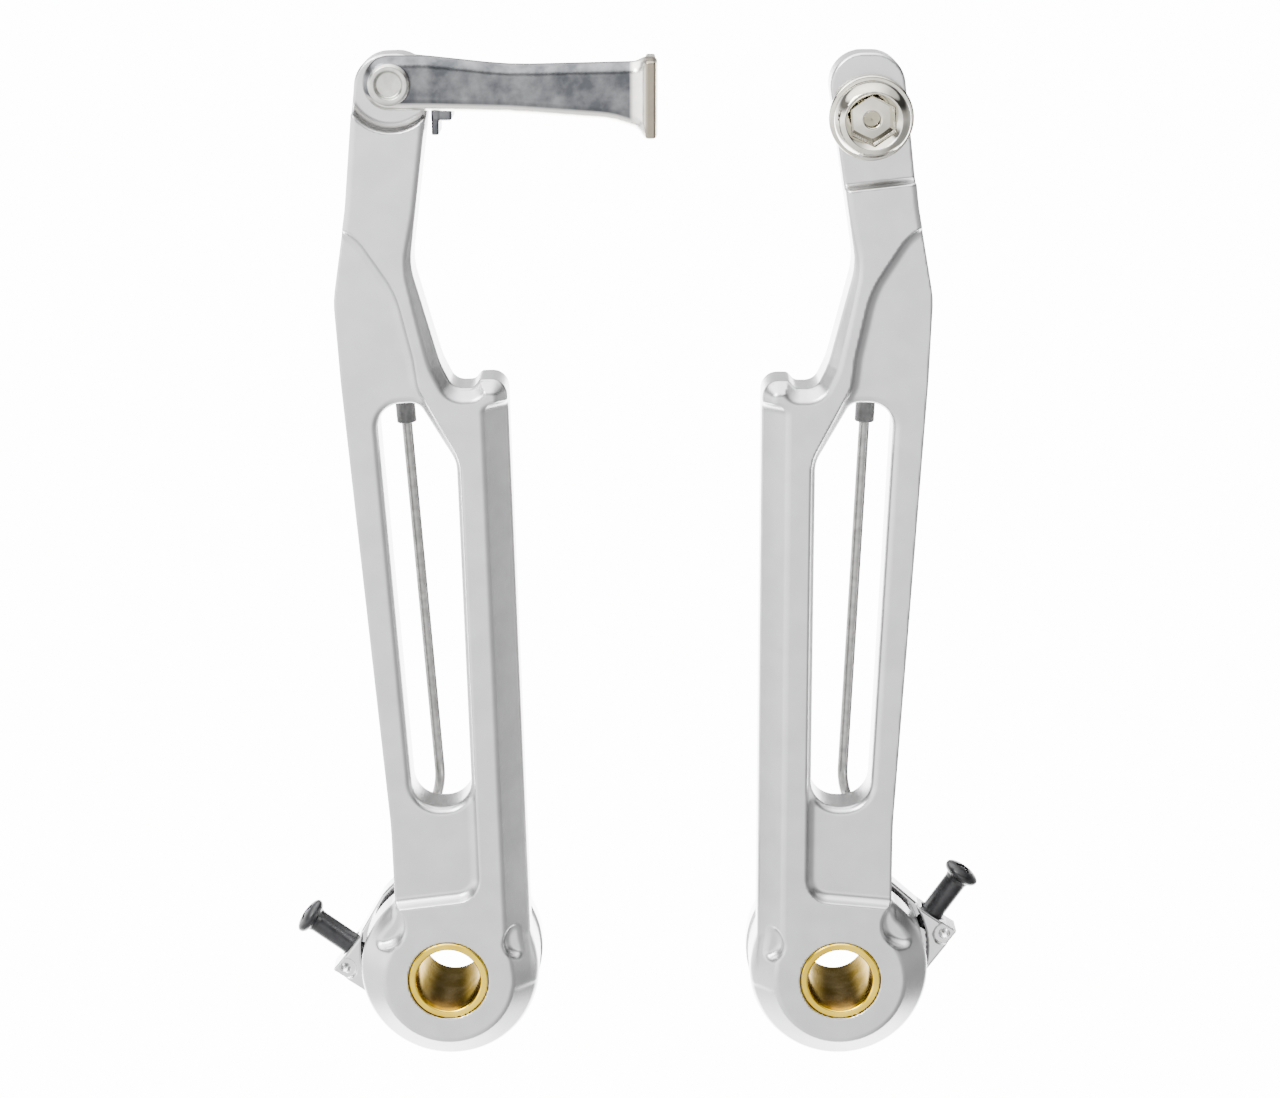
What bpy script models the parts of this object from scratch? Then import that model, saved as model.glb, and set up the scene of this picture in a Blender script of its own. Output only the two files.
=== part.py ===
"""Pair of linear-pull bicycle brake arms, built as an assembly of separate pieces.

World frame in metres, +Z up, front faces towards -Y. The origin lies midway between
the two pivot axes, on the plane where the spring carriers meet the frame's studs.
Arm coordinates: u runs outward from the pivot, h runs up, d runs back from the front face.
"""

from math import acos, atan2, cos, hypot, pi, radians, sin, sqrt, tan

import bmesh
import bpy
from mathutils import Matrix, Vector

MM = 0.001

# Overall layout
STUD_SPACING = 49.0 * MM  # between the two pivot axes
ARM_BACK = 8.0 * MM  # thickness of the arm above its boss
BOSS_PROUD = 3.5 * MM  # how far the boss stands behind the arm's back, to house the spring
BOSS_DEPTH = ARM_BACK + BOSS_PROUD
STACK = BOSS_DEPTH + 3.7 * MM  # front face of the boss to the back of the spring carrier
LEFT_LEAN = radians(1.8)  # how far each arm leans outward at rest
RIGHT_LEAN = radians(0.0)
LEFT_TURN = radians(0.0)  # how far each spring carrier is turned up on its stud
RIGHT_TURN = radians(19.2)

# Fits
FACE_GAP = 0.3 * MM  # between faces that rest on each other
FIT_GAP = 0.2 * MM  # radial gap of a pin in its hole

# Pivot stack
BORE_R = 4.0 * MM  # bicycle stud of 8 mm
BUSH_WALL = 0.95 * MM
BOSS_R = 11.2 * MM
BOSS_FACE_R = BOSS_R - 3.15 * MM
BOSS_CHAMFER_DEPTH = 3.6 * MM
BOSS_WALL = 1.0 * MM
STEM_WALL = 0.9 * MM
SPRING_WELL_FLOOR = 4.8 * MM
RING_R = BOSS_R + 0.25 * MM  # spring carrier's outer radius
WASHER_THICKNESS = 0.5 * MM
WASHER_WIDTH = 1.5 * MM
CLIP_THICKNESS = 0.4 * MM
CLIP_R = BORE_R + BUSH_WALL + 1.8 * MM
CLIP_DEPTH = STACK - 1.15 * MM
CLIP_GROOVE = 0.4 * MM
BUSH_END = STACK - FACE_GAP

# Arm
ARM_HEIGHT = 114.9 * MM  # pivot axis to the top of the head
ARM_FOOT = -1.3 * MM  # the blank's lower end, inside the boss
RIB_U = -10.4 * MM  # inner side face
RIB_TOP = ARM_HEIGHT - 38.9 * MM  # the neck above it keeps its shape
RIB_CHAMFER = 3.1 * MM
OUTER_FOOT_U = 6.3 * MM
SHOULDER_U = 9.85 * MM
SHOULDER_H = RIB_TOP + 10.0 * MM
POCKET_DEPTH = 1.25 * MM
POCKET_FOOT = 12.3 * MM
POCKET_TOP = SHOULDER_H + 9.6 * MM
POCKET_U = -4.4 * MM
SLOT_FOOT = 22.2 * MM
SLOT_TOP = RIB_TOP - 2.7 * MM
SLOT_INNER_U = -3.9 * MM
SLOT_FOOT_WIDTH = 7.25 * MM
SLOT_TOP_WIDTH = 9.4 * MM
HEAD_OUTER_U = 5.75 * MM
HEAD_INNER_U = -3.35 * MM
HEAD_R = 3.9 * MM

# Spring, peg and sleeve
WIRE_R = 0.65 * MM
COIL_PITCH = 1.7 * MM
COIL_BACK = BOSS_DEPTH - 1.9 * MM
LEG_DEPTH = ARM_BACK + WIRE_R + 0.65 * MM
LEG_BEND = (0.4 * MM, 23.4 * MM)
LEG_TOP = (2.95 * MM, RIB_TOP + 5.5 * MM)
TAIL_R = BOSS_R - BOSS_WALL - FACE_GAP - WIRE_R
TAIL_ANGLE = radians(-18.0)
TAIL_END = STACK - 1.9 * MM
TAIL_TURNS = 2
SLEEVE_R = WIRE_R + 0.55 * MM
SLEEVE_FOOT = RIB_TOP - 6.5 * MM
PEG_R = 1.25 * MM
PEG_H = RIB_TOP + 2.0 * MM
PEG_LENGTH = 5.6 * MM

# Joint travel that the pieces leave room for
ARM_IN = radians(4.0)
ARM_OUT = radians(25.0)

# Spring carrier and tension screw
SCREW_FOOT = (13.25 * MM, 0.1 * MM)  # where the screw enters the ear
SCREW_ANGLE = radians(36.0)
SCREW_DEPTH = STACK - 2.3 * MM
EAR_FRONT = SCREW_DEPTH - 2.3 * MM
SCREW_R = 1.45 * MM
SCREW_SHOWN = 5.7 * MM
SCREW_HEAD_R = 2.4 * MM
SCREW_HEAD = 1.6 * MM
SCREW_TIP_R = 0.8 * MM
SCREW_THREAD = 1.9 * MM  # threaded length inside the ear
EAR_HALF = 2.3 * MM
EAR_HOLE = (13.9 * MM, -2.6 * MM)
EAR_HOLE_R = 0.6 * MM
EAR_CORNER = (15.5 * MM, -2.9 * MM)
PIN_R = 1.4 * MM
PIN_ORBIT = 9.45 * MM
PIN_ANGLE = radians(130.0)
PIN_OUT = 4.0 * MM

# Noodle link on the left arm
LINK_U = 1.8 * MM
LINK_H = ARM_HEIGHT - 3.3 * MM  # its pivot above the arm's pivot
LINK_SEAT_R = 5.6 * MM
LINK_SEAT = 2.3 * MM
LINK_END_R = 3.2 * MM
LINK_BAR = 2.3 * MM
LINK_SHEET = 1.2 * MM
LINK_REACH = 31.1 * MM
KEYHOLE_R = 3.0 * MM
RIVET_R = 1.9 * MM
RIVET_HEAD_R = 2.45 * MM
RIVET_HEAD = 0.8 * MM
STOP_DROP = 6.3 * MM

# Cable clamp on the right arm
CABLE_U = 2.1 * MM
CABLE_H = ARM_HEIGHT - 7.5 * MM
CABLE_SEAT_DROP = 8.3 * MM  # bolt axis to the seat's lower edge
CABLE_SEAT = 2.5 * MM
BOLT_R = 2.5 * MM
BOLT_HEAD_R = 4.5 * MM
BOLT_HEAD = 3.4 * MM
HEX_HALF = 2.5 * MM
HEX_DEPTH = 2.4 * MM
CABLE_WASHER_R = 5.0 * MM
CABLE_WASHER = 1.2 * MM

# Facets
ARC_STEP = radians(15.0)
ROUND_STEPS = 36
SMALL_STEPS = 18
OVERRUN = 1.0 * MM  # how far a cutter passes the face that it cuts

BUSH_R = BORE_R + BUSH_WALL
ARM_BORE_R = BUSH_R + FIT_GAP
STEM_R = ARM_BORE_R + STEM_WALL
WELL_R = BOSS_R - BOSS_WALL
COIL_R = STEM_R + FACE_GAP + WIRE_R
CARRIER_FRONT = BOSS_DEPTH + FACE_GAP

ALUMINIUM = ("brushed_aluminium", (0.72, 0.72, 0.73, 1), 0.32, 1.0)
BRASS = ("brass", (0.75, 0.53, 0.2, 1), 0.28, 1.0)
CAST = ("polished_alloy", (0.8, 0.8, 0.8, 1), 0.22, 1.0)
STEEL = ("spring_steel", (0.36, 0.36, 0.35, 1), 0.35, 1.0)
BLACK = ("black_oxide_steel", (0.02, 0.02, 0.022, 1), 0.4, 0.6)
NICKEL = ("nickel_steel", (0.3, 0.31, 0.33, 1), 0.38, 1.0)
CHROME = ("chrome_steel", (0.75, 0.74, 0.7, 1), 0.12, 1.0)
SLEEVE = ("grey_nylon", (0.12, 0.12, 0.12, 1), 0.5, 0.0)


def clear_scene():
    for obj in list(bpy.data.objects):
        bpy.data.objects.remove(obj, do_unlink=True)


def collection(name):
    made = bpy.data.collections.new(name)
    bpy.context.scene.collection.children.link(made)
    return made


def material_for(node, finish):
    _, colour, roughness, metallic = finish
    material = bpy.data.materials.new(node)
    material.use_nodes = True
    shader = material.node_tree.nodes["Principled BSDF"]
    shader.inputs["Base Color"].default_value = colour
    shader.inputs["Roughness"].default_value = roughness
    shader.inputs["Metallic"].default_value = metallic
    return material


def empty(name, location, turn):
    """Axis marker; its turn is about +Y."""
    marker = bpy.data.objects.new(name, None)
    marker.location = location
    marker.rotation_euler = (0, turn, 0)
    PARTS.objects.link(marker)
    return marker


def solid(mesh, name, home):
    """Object of a welded mesh, in the local frame of the empty that it hangs on."""
    bm = bmesh.new()
    bm.from_mesh(mesh)
    bmesh.ops.remove_doubles(bm, verts=bm.verts, dist=1e-7)
    bmesh.ops.recalc_face_normals(bm, faces=bm.faces)
    bm.to_mesh(mesh)
    bm.free()
    obj = bpy.data.objects.new(name, mesh)
    CUTTERS.objects.link(obj)
    obj.parent = home
    obj.hide_render = True
    obj.display_type = "WIRE"
    return obj


def baked(source, name, home, place=Matrix.Identity(4)):
    """Turns a curve or a modified object into a plain mesh and removes the source."""
    bpy.context.view_layer.update()
    graph = bpy.context.evaluated_depsgraph_get()
    mesh = bpy.data.meshes.new_from_object(source.evaluated_get(graph))
    mesh.transform(place @ source.matrix_world)
    bpy.data.objects.remove(source, do_unlink=True)
    return solid(mesh, name, home)


def slab(name, home, outline, front, back):
    """Flat outline of (x, z) points, filled and extruded from depth front to depth back."""
    curve = bpy.data.curves.new(name, "CURVE")
    curve.dimensions = "2D"
    curve.fill_mode = "BOTH"
    curve.extrude = (back - front) / 2
    spline = curve.splines.new("POLY")
    spline.points.add(len(outline) - 1)
    for point, (x, z) in zip(spline.points, outline):
        point.co = (x, z, 0, 1)
    spline.use_cyclic_u = True
    flat = bpy.data.objects.new(name, curve)
    flat.rotation_euler = (pi / 2, 0, 0)
    flat.location = (0, (front + back) / 2 - STACK, 0)
    CUTTERS.objects.link(flat)
    return baked(flat, name, home)


def turned(name, home, profile, steps, place):
    """Profile of (radius, depth) points, front to back along its outer side, turned about its axis."""
    mesh = bpy.data.meshes.new(name)
    points = [(radius, 0, -depth) for radius, depth in profile]
    closed = all(radius > 0 for radius, _ in profile)
    edges = [(i, i + 1) for i in range(len(points) - 1)]
    if closed:
        edges.append((len(points) - 1, 0))
    mesh.from_pydata(points, edges, [])
    lathe = bpy.data.objects.new(name, mesh)
    CUTTERS.objects.link(lathe)
    screw = lathe.modifiers.new("turn", "SCREW")
    screw.angle = 2 * pi
    screw.steps = steps
    screw.render_steps = steps
    screw.use_merge_vertices = True
    screw.merge_threshold = 0.00001
    return baked(lathe, name, home, place)


def along_y(x, z):
    """Places a turned piece on an axis that runs back along Y, with depth 0 on the front plane."""
    return Matrix.Translation((x, -STACK, z)) @ Matrix.Rotation(pi / 2, 4, "X")


def wire(name, home, points, radius):
    curve = bpy.data.curves.new(name, "CURVE")
    curve.dimensions = "3D"
    curve.bevel_depth = radius
    curve.bevel_resolution = 2
    curve.use_fill_caps = True
    spline = curve.splines.new("POLY")
    spline.points.add(len(points) - 1)
    for point, place in zip(spline.points, points):
        point.co = (*place, 1)
    rod = bpy.data.objects.new(name, curve)
    CUTTERS.objects.link(rod)
    return baked(rod, name, home)


def box(name, home, place):
    """Unit cube put through a matrix."""
    mesh = bpy.data.meshes.new(name)
    bm = bmesh.new()
    bmesh.ops.create_cube(bm, size=1)
    bm.transform(place)
    bm.to_mesh(mesh)
    bm.free()
    return solid(mesh, name, home)


def combine(target, tool, operation):
    step = target.modifiers.new(tool.name, "BOOLEAN")
    step.operation = operation
    step.solver = "EXACT"
    step.object = tool


def join(target, tool):
    combine(target, tool, "UNION")


def cut(target, tool):
    combine(target, tool, "DIFFERENCE")


def finish(obj, finish_values):
    """Moves a finished piece to the visible collection and gives it its material."""
    CUTTERS.objects.unlink(obj)
    PARTS.objects.link(obj)
    obj.hide_render = False
    obj.display_type = "TEXTURED"
    obj.data.materials.clear()
    obj.data.materials.append(material_for(obj.name, finish_values))
    obj.data.shade_smooth()
    obj.data.set_sharp_from_angle(angle=radians(30))


def rounded(corners):
    """Outline through (u, h, radius) corners, with each corner replaced by an arc."""
    points = []
    for i, (u, h, radius) in enumerate(corners):
        here = Vector((u, h))
        before = (Vector(corners[i - 1][:2]) - here).normalized()
        after = (Vector(corners[(i + 1) % len(corners)][:2]) - here).normalized()
        half = acos(max(-1, min(1, before.dot(after)))) / 2
        if radius == 0:
            points.append((u, h))
            continue
        reach = radius / tan(half)
        centre = here + (before + after).normalized() * (radius / sin(half))
        start = here + before * reach - centre
        end = here + after * reach - centre
        first = atan2(start.y, start.x)
        sweep = (atan2(end.y, end.x) - first + pi) % (2 * pi) - pi
        count = max(1, round(abs(sweep) / ARC_STEP))
        for k in range(count + 1):
            angle = first + sweep * k / count
            points.append((centre.x + radius * cos(angle), centre.y + radius * sin(angle)))
    return points


def sided(points, side):
    return [(side * u, h) for u, h in points]


def disc(radius, u=0.0, h=0.0, steps=ROUND_STEPS):
    return [
        (u + radius * cos(2 * pi * k / steps), h + radius * sin(2 * pi * k / steps))
        for k in range(steps)
    ]


def arm_outline():
    """Silhouette of the arm above its boss, with the rib on the inner side and the bent neck."""
    crown_u = RIB_U + 3.2 * MM
    dip = RIB_TOP - 1.0 * MM
    return rounded(
        [
            (RIB_U, ARM_FOOT, 0),
            (OUTER_FOOT_U, ARM_FOOT, 0),
            (OUTER_FOOT_U, 20 * MM, 40 * MM),
            (SHOULDER_U - 0.35 * MM, SHOULDER_H - 10 * MM, 40 * MM),
            (SHOULDER_U, SHOULDER_H, 10 * MM),
            (HEAD_OUTER_U + 2.1 * MM, SHOULDER_H + 11 * MM, 30 * MM),
            (HEAD_OUTER_U, ARM_HEIGHT, HEAD_R),
            (HEAD_INNER_U, ARM_HEIGHT, HEAD_R),
            (0.5 * MM, SHOULDER_H + 4.0 * MM, 9 * MM),
            (-2.55 * MM, RIB_TOP + 2.0 * MM, 10 * MM),
            (-4.0 * MM, dip, 1.8 * MM),
            (crown_u + 0.9 * MM, dip, 0.9 * MM),
            (crown_u, RIB_TOP, 0.6 * MM),
            (RIB_U, RIB_TOP, 2.0 * MM),
        ]
    )


def pocket_outline():
    """Milled pocket, open at the outer edge."""
    outside = SHOULDER_U + 3 * MM
    return rounded(
        [
            (outside, POCKET_FOOT, 0),
            (outside, POCKET_TOP + 1.2 * MM, 0),
            (SHOULDER_U - 3.2 * MM, POCKET_TOP - 1.8 * MM, 6 * MM),
            (2.3 * MM, SHOULDER_H + 1.0 * MM, 12 * MM),
            (0.6 * MM, RIB_TOP + 3.0 * MM, 6 * MM),
            (0.2 * MM, RIB_TOP - 0.6 * MM, 4 * MM),
            (POCKET_U, SLOT_TOP - 7.7 * MM, 6 * MM),
            (POCKET_U, POCKET_FOOT, 3 * MM),
        ]
    )


def slot_outline():
    """Long slot for the brake pad's stud."""
    return rounded(
        [
            (SLOT_INNER_U, SLOT_FOOT, 3.4 * MM),
            (SLOT_INNER_U + SLOT_FOOT_WIDTH, SLOT_FOOT, 3.4 * MM),
            (SLOT_INNER_U + SLOT_TOP_WIDTH, SLOT_TOP, 3.0 * MM),
            (SLOT_INNER_U + 4.2 * MM, SLOT_TOP, 1.8 * MM),
            (SLOT_INNER_U, SLOT_TOP - 7.4 * MM, 4.0 * MM),
        ]
    )


def rib_chamfer(name, side, home):
    """Turned box that takes the front corner off the inner edge."""
    half = RIB_CHAMFER
    foot = ARM_FOOT - OVERRUN
    top = SLOT_TOP
    size = Matrix.Diagonal((2 * half, 2 * half, top - foot, 1))
    turn = Matrix.Rotation(pi / 4, 4, "Z")
    middle_u = RIB_U + RIB_CHAMFER / 2 - half * sin(pi / 4)
    middle_d = RIB_CHAMFER / 2 - half * sin(pi / 4)
    place = Matrix.Translation((side * middle_u, middle_d - STACK, (foot + top) / 2))
    return box(name, home, place @ turn @ size)


def spring_window(name, side, home):
    """Opening in the boss wall where the spring's leg leaves."""
    width = 7.4 * MM
    middle = radians(52)
    near, far = STEM_R + 2.4 * MM, BOSS_R + 2 * OVERRUN
    corners = []
    for radius, across in ((near, -1), (far, -1), (far, 1), (near, 1)):
        u = radius * cos(middle) - across * width / 2 * sin(middle)
        h = radius * sin(middle) + across * width / 2 * cos(middle)
        corners.append((u, h))
    return slab(name, home, sided(corners, side), ARM_BACK + 0.5 * MM, BOSS_DEPTH + OVERRUN)


def cable_seat_outline():
    """Seat milled across the head, with its lower edge a little askew."""
    low = CABLE_H - CABLE_SEAT_DROP
    far = 12 * MM
    high = ARM_HEIGHT + 4 * OVERRUN
    return [(-far, low - 1.5 * MM), (far, low + 1.2 * MM), (far, high), (-far, high)]


def arm(name, side, home, seat, seat_depth, pivot):
    """The seat is an outline, and the pivot is (u, h, radius of the pin)."""
    body = slab(name, home, sided(arm_outline(), side), 0, ARM_BACK)
    cut(body, rib_chamfer(name + "_rib_chamfer", side, home))
    boss = [
        (0, 0),
        (BOSS_FACE_R, 0),
        (BOSS_R, BOSS_CHAMFER_DEPTH),
        (BOSS_R, BOSS_DEPTH),
        (0, BOSS_DEPTH),
    ]
    half_facet = Matrix.Rotation(pi / ROUND_STEPS, 4, "Z")  # keeps its facets off the cutters' corners
    join(body, turned(name + "_boss", home, boss, ROUND_STEPS, along_y(0, 0) @ half_facet))
    cut(body, slab(name + "_pocket", home, sided(pocket_outline(), side), -OVERRUN, POCKET_DEPTH))
    cut(body, slab(name + "_slot", home, sided(slot_outline(), side), -OVERRUN, ARM_BACK + OVERRUN))
    bore = disc(ARM_BORE_R)
    cut(body, slab(name + "_bore", home, bore, -OVERRUN, BOSS_DEPTH + OVERRUN))
    well = [
        (STEM_R, SPRING_WELL_FLOOR),
        (WELL_R, SPRING_WELL_FLOOR),
        (WELL_R, BOSS_DEPTH + OVERRUN),
        (STEM_R, BOSS_DEPTH + OVERRUN),
    ]
    cut(body, turned(name + "_spring_well", home, well, ROUND_STEPS, along_y(0, 0)))
    cut(body, spring_window(name + "_spring_window", side, home))
    cut(body, slab(name + "_seat", home, sided(seat, side), -OVERRUN, seat_depth))
    pivot_u, pivot_h, pivot_r = pivot
    hole = disc(pivot_r + FIT_GAP, side * pivot_u, pivot_h, SMALL_STEPS)
    cut(body, slab(name + "_head_hole", home, hole, -2 * OVERRUN, ARM_BACK + 2 * OVERRUN))
    peg = disc(PEG_R + FIT_GAP, side * peg_u(), PEG_H, SMALL_STEPS)
    cut(body, slab(name + "_peg_hole", home, peg, peg_front() - FACE_GAP, ARM_BACK + OVERRUN))
    finish(body, ALUMINIUM)


def pivot_bush(name, home):
    """Brass bush, pressed in the arm, with a groove for the clip behind the carrier."""
    edge = 0.25 * MM
    groove_r = BUSH_R - CLIP_GROOVE
    groove_front = CLIP_DEPTH - FIT_GAP / 2
    groove_back = CLIP_DEPTH + CLIP_THICKNESS + FIT_GAP / 2
    profile = [
        (BORE_R + edge, 0),
        (BUSH_R - edge / 2, 0),
        (BUSH_R, edge / 2),
        (BUSH_R, groove_front),
        (groove_r, groove_front),
        (groove_r, groove_back),
        (BUSH_R, groove_back),
        (BUSH_R, BUSH_END),
        (BORE_R, BUSH_END),
        (BORE_R, edge),
    ]
    finish(turned(name, home, profile, ROUND_STEPS, along_y(0, 0)), BRASS)


def thrust_washer(name, home):
    inner = BUSH_R + FIT_GAP
    outer = inner + WASHER_WIDTH
    back = CARRIER_FRONT + WASHER_THICKNESS
    profile = [(inner, CARRIER_FRONT), (outer, CARRIER_FRONT), (outer, back), (inner, back)]
    finish(turned(name, home, profile, ROUND_STEPS, along_y(0, 0)), STEEL)


def retaining_ring(name, side, home):
    """Open clip in the bush's groove, which holds the carrier on."""
    inner = BUSH_R - CLIP_GROOVE + FIT_GAP
    back = CLIP_DEPTH + CLIP_THICKNESS
    profile = [(inner, CLIP_DEPTH), (CLIP_R, CLIP_DEPTH), (CLIP_R, back), (inner, back)]
    clip = turned(name, home, profile, ROUND_STEPS, along_y(0, 0))
    mouth = [(-2.2 * MM, 0), (2.2 * MM, 0), (3.4 * MM, 9 * MM), (-3.4 * MM, 9 * MM)]
    cut(clip, slab(name + "_mouth", home, sided(mouth, side), CLIP_DEPTH - OVERRUN, back + OVERRUN))
    finish(clip, STEEL)


def screw_frame(side):
    """Matrix whose +Z runs outward along the tension screw, from the point where it enters the ear."""
    along = Vector((side * cos(SCREW_ANGLE), 0, sin(SCREW_ANGLE)))
    foot = Vector((side * SCREW_FOOT[0], SCREW_DEPTH - STACK, SCREW_FOOT[1]))
    return Matrix.Translation(foot) @ along.to_track_quat("Z", "Y").to_matrix().to_4x4()


def tail_point():
    return TAIL_R * cos(TAIL_ANGLE), TAIL_R * sin(TAIL_ANGLE)


def screw_reach():
    """Length of the screw inside the ear, short of the spring's tail with the arm turned fully in."""
    tail_u, tail_h = tail_point()
    along = (SCREW_FOOT[0] - tail_u) * cos(SCREW_ANGLE) + (SCREW_FOOT[1] - tail_h) * sin(SCREW_ANGLE)
    across = (SCREW_FOOT[1] - tail_h) * cos(SCREW_ANGLE) - (SCREW_FOOT[0] - tail_u) * sin(SCREW_ANGLE)
    room = WIRE_R + FACE_GAP + TAIL_R * sin(ARM_IN)
    beside = min(abs(across), room)
    return along - sqrt(room**2 - beside**2)


def carrier_outline():
    """Ring with an ear on its outer side."""
    along = Vector((cos(SCREW_ANGLE), sin(SCREW_ANGLE)))
    across = Vector((-along.y, along.x))
    foot = Vector(SCREW_FOOT)
    low = foot - across * EAR_HALF
    high = foot + across * EAR_HALF
    ring = RING_R
    start, end = radians(38), radians(360 - 42)
    arc = [
        (ring * cos(start + (end - start) * k / 36), ring * sin(start + (end - start) * k / 36))
        for k in range(37)
    ]
    return arc + [EAR_CORNER, tuple(low), tuple(high)]


def tail_window(name, side, home):
    """Curved pocket in which the spring's tail sits, long enough for the arm's travel."""
    inner = TAIL_R - WIRE_R - FACE_GAP
    outer = TAIL_R + WIRE_R + FACE_GAP
    spare = (WIRE_R + FACE_GAP) / TAIL_R
    start = TAIL_ANGLE + ARM_IN + spare
    end = TAIL_ANGLE - ARM_OUT - spare
    steps = 8
    angles = [start + (end - start) * k / steps for k in range(steps + 1)]
    outline = [(outer * cos(a), outer * sin(a)) for a in angles]
    outline += [(inner * cos(a), inner * sin(a)) for a in reversed(angles)]
    return slab(name, home, sided(outline, side), EAR_FRONT - OVERRUN, TAIL_END + FACE_GAP)


def spring_carrier(name, side, home):
    body = slab(name, home, sided(carrier_outline(), side), EAR_FRONT, STACK)
    boss_room = disc(BOSS_R + 2 * FACE_GAP)
    cut(body, slab(name + "_boss_room", home, boss_room, EAR_FRONT - 4 * OVERRUN, CARRIER_FRONT))
    cut(body, slab(name + "_bore", home, disc(BUSH_R + FACE_GAP), 0, STACK + OVERRUN))
    washer_r = BUSH_R + FIT_GAP + WASHER_WIDTH + FIT_GAP
    recess = CARRIER_FRONT + WASHER_THICKNESS + FACE_GAP
    cut(body, slab(name + "_washer_seat", home, disc(washer_r), 0, recess))
    clip_seat = disc(CLIP_R + 2 * FIT_GAP)
    cut(body, slab(name + "_clip_seat", home, clip_seat, CLIP_DEPTH - FIT_GAP, STACK + 2 * OVERRUN))
    cut(body, tail_window(name + "_tail_window", side, home))
    frame = screw_frame(side)
    thread_r = SCREW_R + FIT_GAP
    thread_end = SCREW_THREAD + FACE_GAP
    thread = [(0, -OVERRUN), (thread_r, -OVERRUN), (thread_r, thread_end), (0, thread_end)]
    cut(body, turned(name + "_thread", home, thread, SMALL_STEPS, frame))
    tip_r = SCREW_TIP_R + FIT_GAP
    tip_end = screw_reach() + FACE_GAP
    tip = [(0, -OVERRUN / 2), (tip_r, -OVERRUN / 2), (tip_r, tip_end), (0, tip_end)]
    cut(body, turned(name + "_tip_hole", home, tip, SMALL_STEPS, frame))
    hole = disc(EAR_HOLE_R, side * EAR_HOLE[0], EAR_HOLE[1], SMALL_STEPS)
    cut(body, slab(name + "_ear_hole", home, hole, EAR_FRONT - 2 * OVERRUN, STACK + 3 * OVERRUN))
    pin_u, pin_h = PIN_ORBIT * cos(PIN_ANGLE), PIN_ORBIT * sin(PIN_ANGLE)
    pin = disc(PIN_R + FIT_GAP, side * pin_u, pin_h, SMALL_STEPS)
    cut(body, slab(name + "_pin_hole", home, pin, pin_front() - FACE_GAP, STACK + 4 * OVERRUN))
    finish(body, CAST)


def pin_front():
    return CARRIER_FRONT + 0.9 * MM


def spring_pin(name, side, home):
    """Pin that enters the spring hole in the frame's stud plate."""
    edge = 0.3 * MM
    front, back = pin_front(), STACK + PIN_OUT
    profile = [(0, front), (PIN_R, front), (PIN_R, back - edge), (PIN_R - edge, back), (0, back)]
    u, h = PIN_ORBIT * cos(PIN_ANGLE), PIN_ORBIT * sin(PIN_ANGLE)
    finish(turned(name, home, profile, SMALL_STEPS, along_y(side * u, h)), STEEL)


def tension_screw(name, side, home):
    """Screw with a dog point; its head stands off the ear."""
    shown, reach = SCREW_SHOWN, screw_reach()
    neck = 0.5 * MM
    profile = [
        (0, -(shown + SCREW_HEAD)),
        (SCREW_HEAD_R * 0.72, -(shown + SCREW_HEAD)),
        (SCREW_HEAD_R, -(shown + SCREW_HEAD * 0.55)),
        (SCREW_HEAD_R, -(shown + SCREW_HEAD * 0.25)),
        (SCREW_HEAD_R * 0.8, -shown),
        (SCREW_R, -(shown - neck)),
        (SCREW_R, SCREW_THREAD),
        (SCREW_TIP_R, SCREW_THREAD),
        (SCREW_TIP_R, reach),
        (0, reach),
    ]
    body = turned(name, home, profile, SMALL_STEPS, screw_frame(side))
    blade = 0.32 * MM
    deep = 0.8 * MM
    wide = SCREW_HEAD_R * 0.55
    for k, (half_x, half_y) in enumerate(((wide, blade), (blade, wide))):
        stretch = Matrix.Diagonal((2 * half_x, 2 * half_y, 2 * deep, 1))
        lift = Matrix.Translation((0, 0, shown + SCREW_HEAD))
        cut(body, box(f"{name}_recess_{k}", home, screw_frame(side) @ lift @ stretch))
    finish(body, BLACK)


def spring_route(side, wind):
    """Tail in the carrier, coil in the boss, then the leg behind the arm up to the peg.

    wind is how far the carrier is turned up from the arm, which the tail follows.
    """
    bend_u, bend_h = LEG_BEND
    reach = hypot(bend_u, bend_h)
    foot_angle = atan2(bend_h, bend_u) - acos(COIL_R / reach)
    end_angle = TAIL_ANGLE + wind - 2 * pi * TAIL_TURNS
    steps = 16 * TAIL_TURNS + 2
    spread = radians(70)
    coil = []
    for k in range(steps + 1):
        angle = end_angle + (foot_angle - end_angle) * k / steps
        share = max(0.0, 1 - (angle - end_angle) / spread)
        ease = share * share * (3 - 2 * share)
        radius = COIL_R + (TAIL_R - COIL_R) * ease
        depth = COIL_BACK - COIL_PITCH * (foot_angle - angle) / (2 * pi)
        coil.append((radius * cos(angle), radius * sin(angle), depth))
    tail_u, tail_h, tail_d = coil[0]
    tail = [(tail_u, tail_h, TAIL_END), (tail_u, tail_h, tail_d + 1.0 * MM)]
    round_in = (coil[0][0] + coil[1][0]) / 2, (coil[0][1] + coil[1][1]) / 2, tail_d + 0.1 * MM
    top_u, top_h = LEG_TOP
    foot_u, foot_h, foot_d = coil[-1]
    leg = []
    for share in (0.35, 0.7, 0.9):
        u = foot_u + (bend_u - foot_u) * share
        h = foot_h + (bend_h - foot_h) * share
        leg.append((u, h, foot_d + (LEG_DEPTH - foot_d) * share))
    for share in (0.03, 0.08, 0.3, 0.55, 0.8, 1.0):
        leg.append((bend_u + (top_u - bend_u) * share, bend_h + (top_h - bend_h) * share, LEG_DEPTH))
    points = tail + [round_in] + coil[1:] + leg
    return [(side * u, d - STACK, h) for u, h, d in points]


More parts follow.
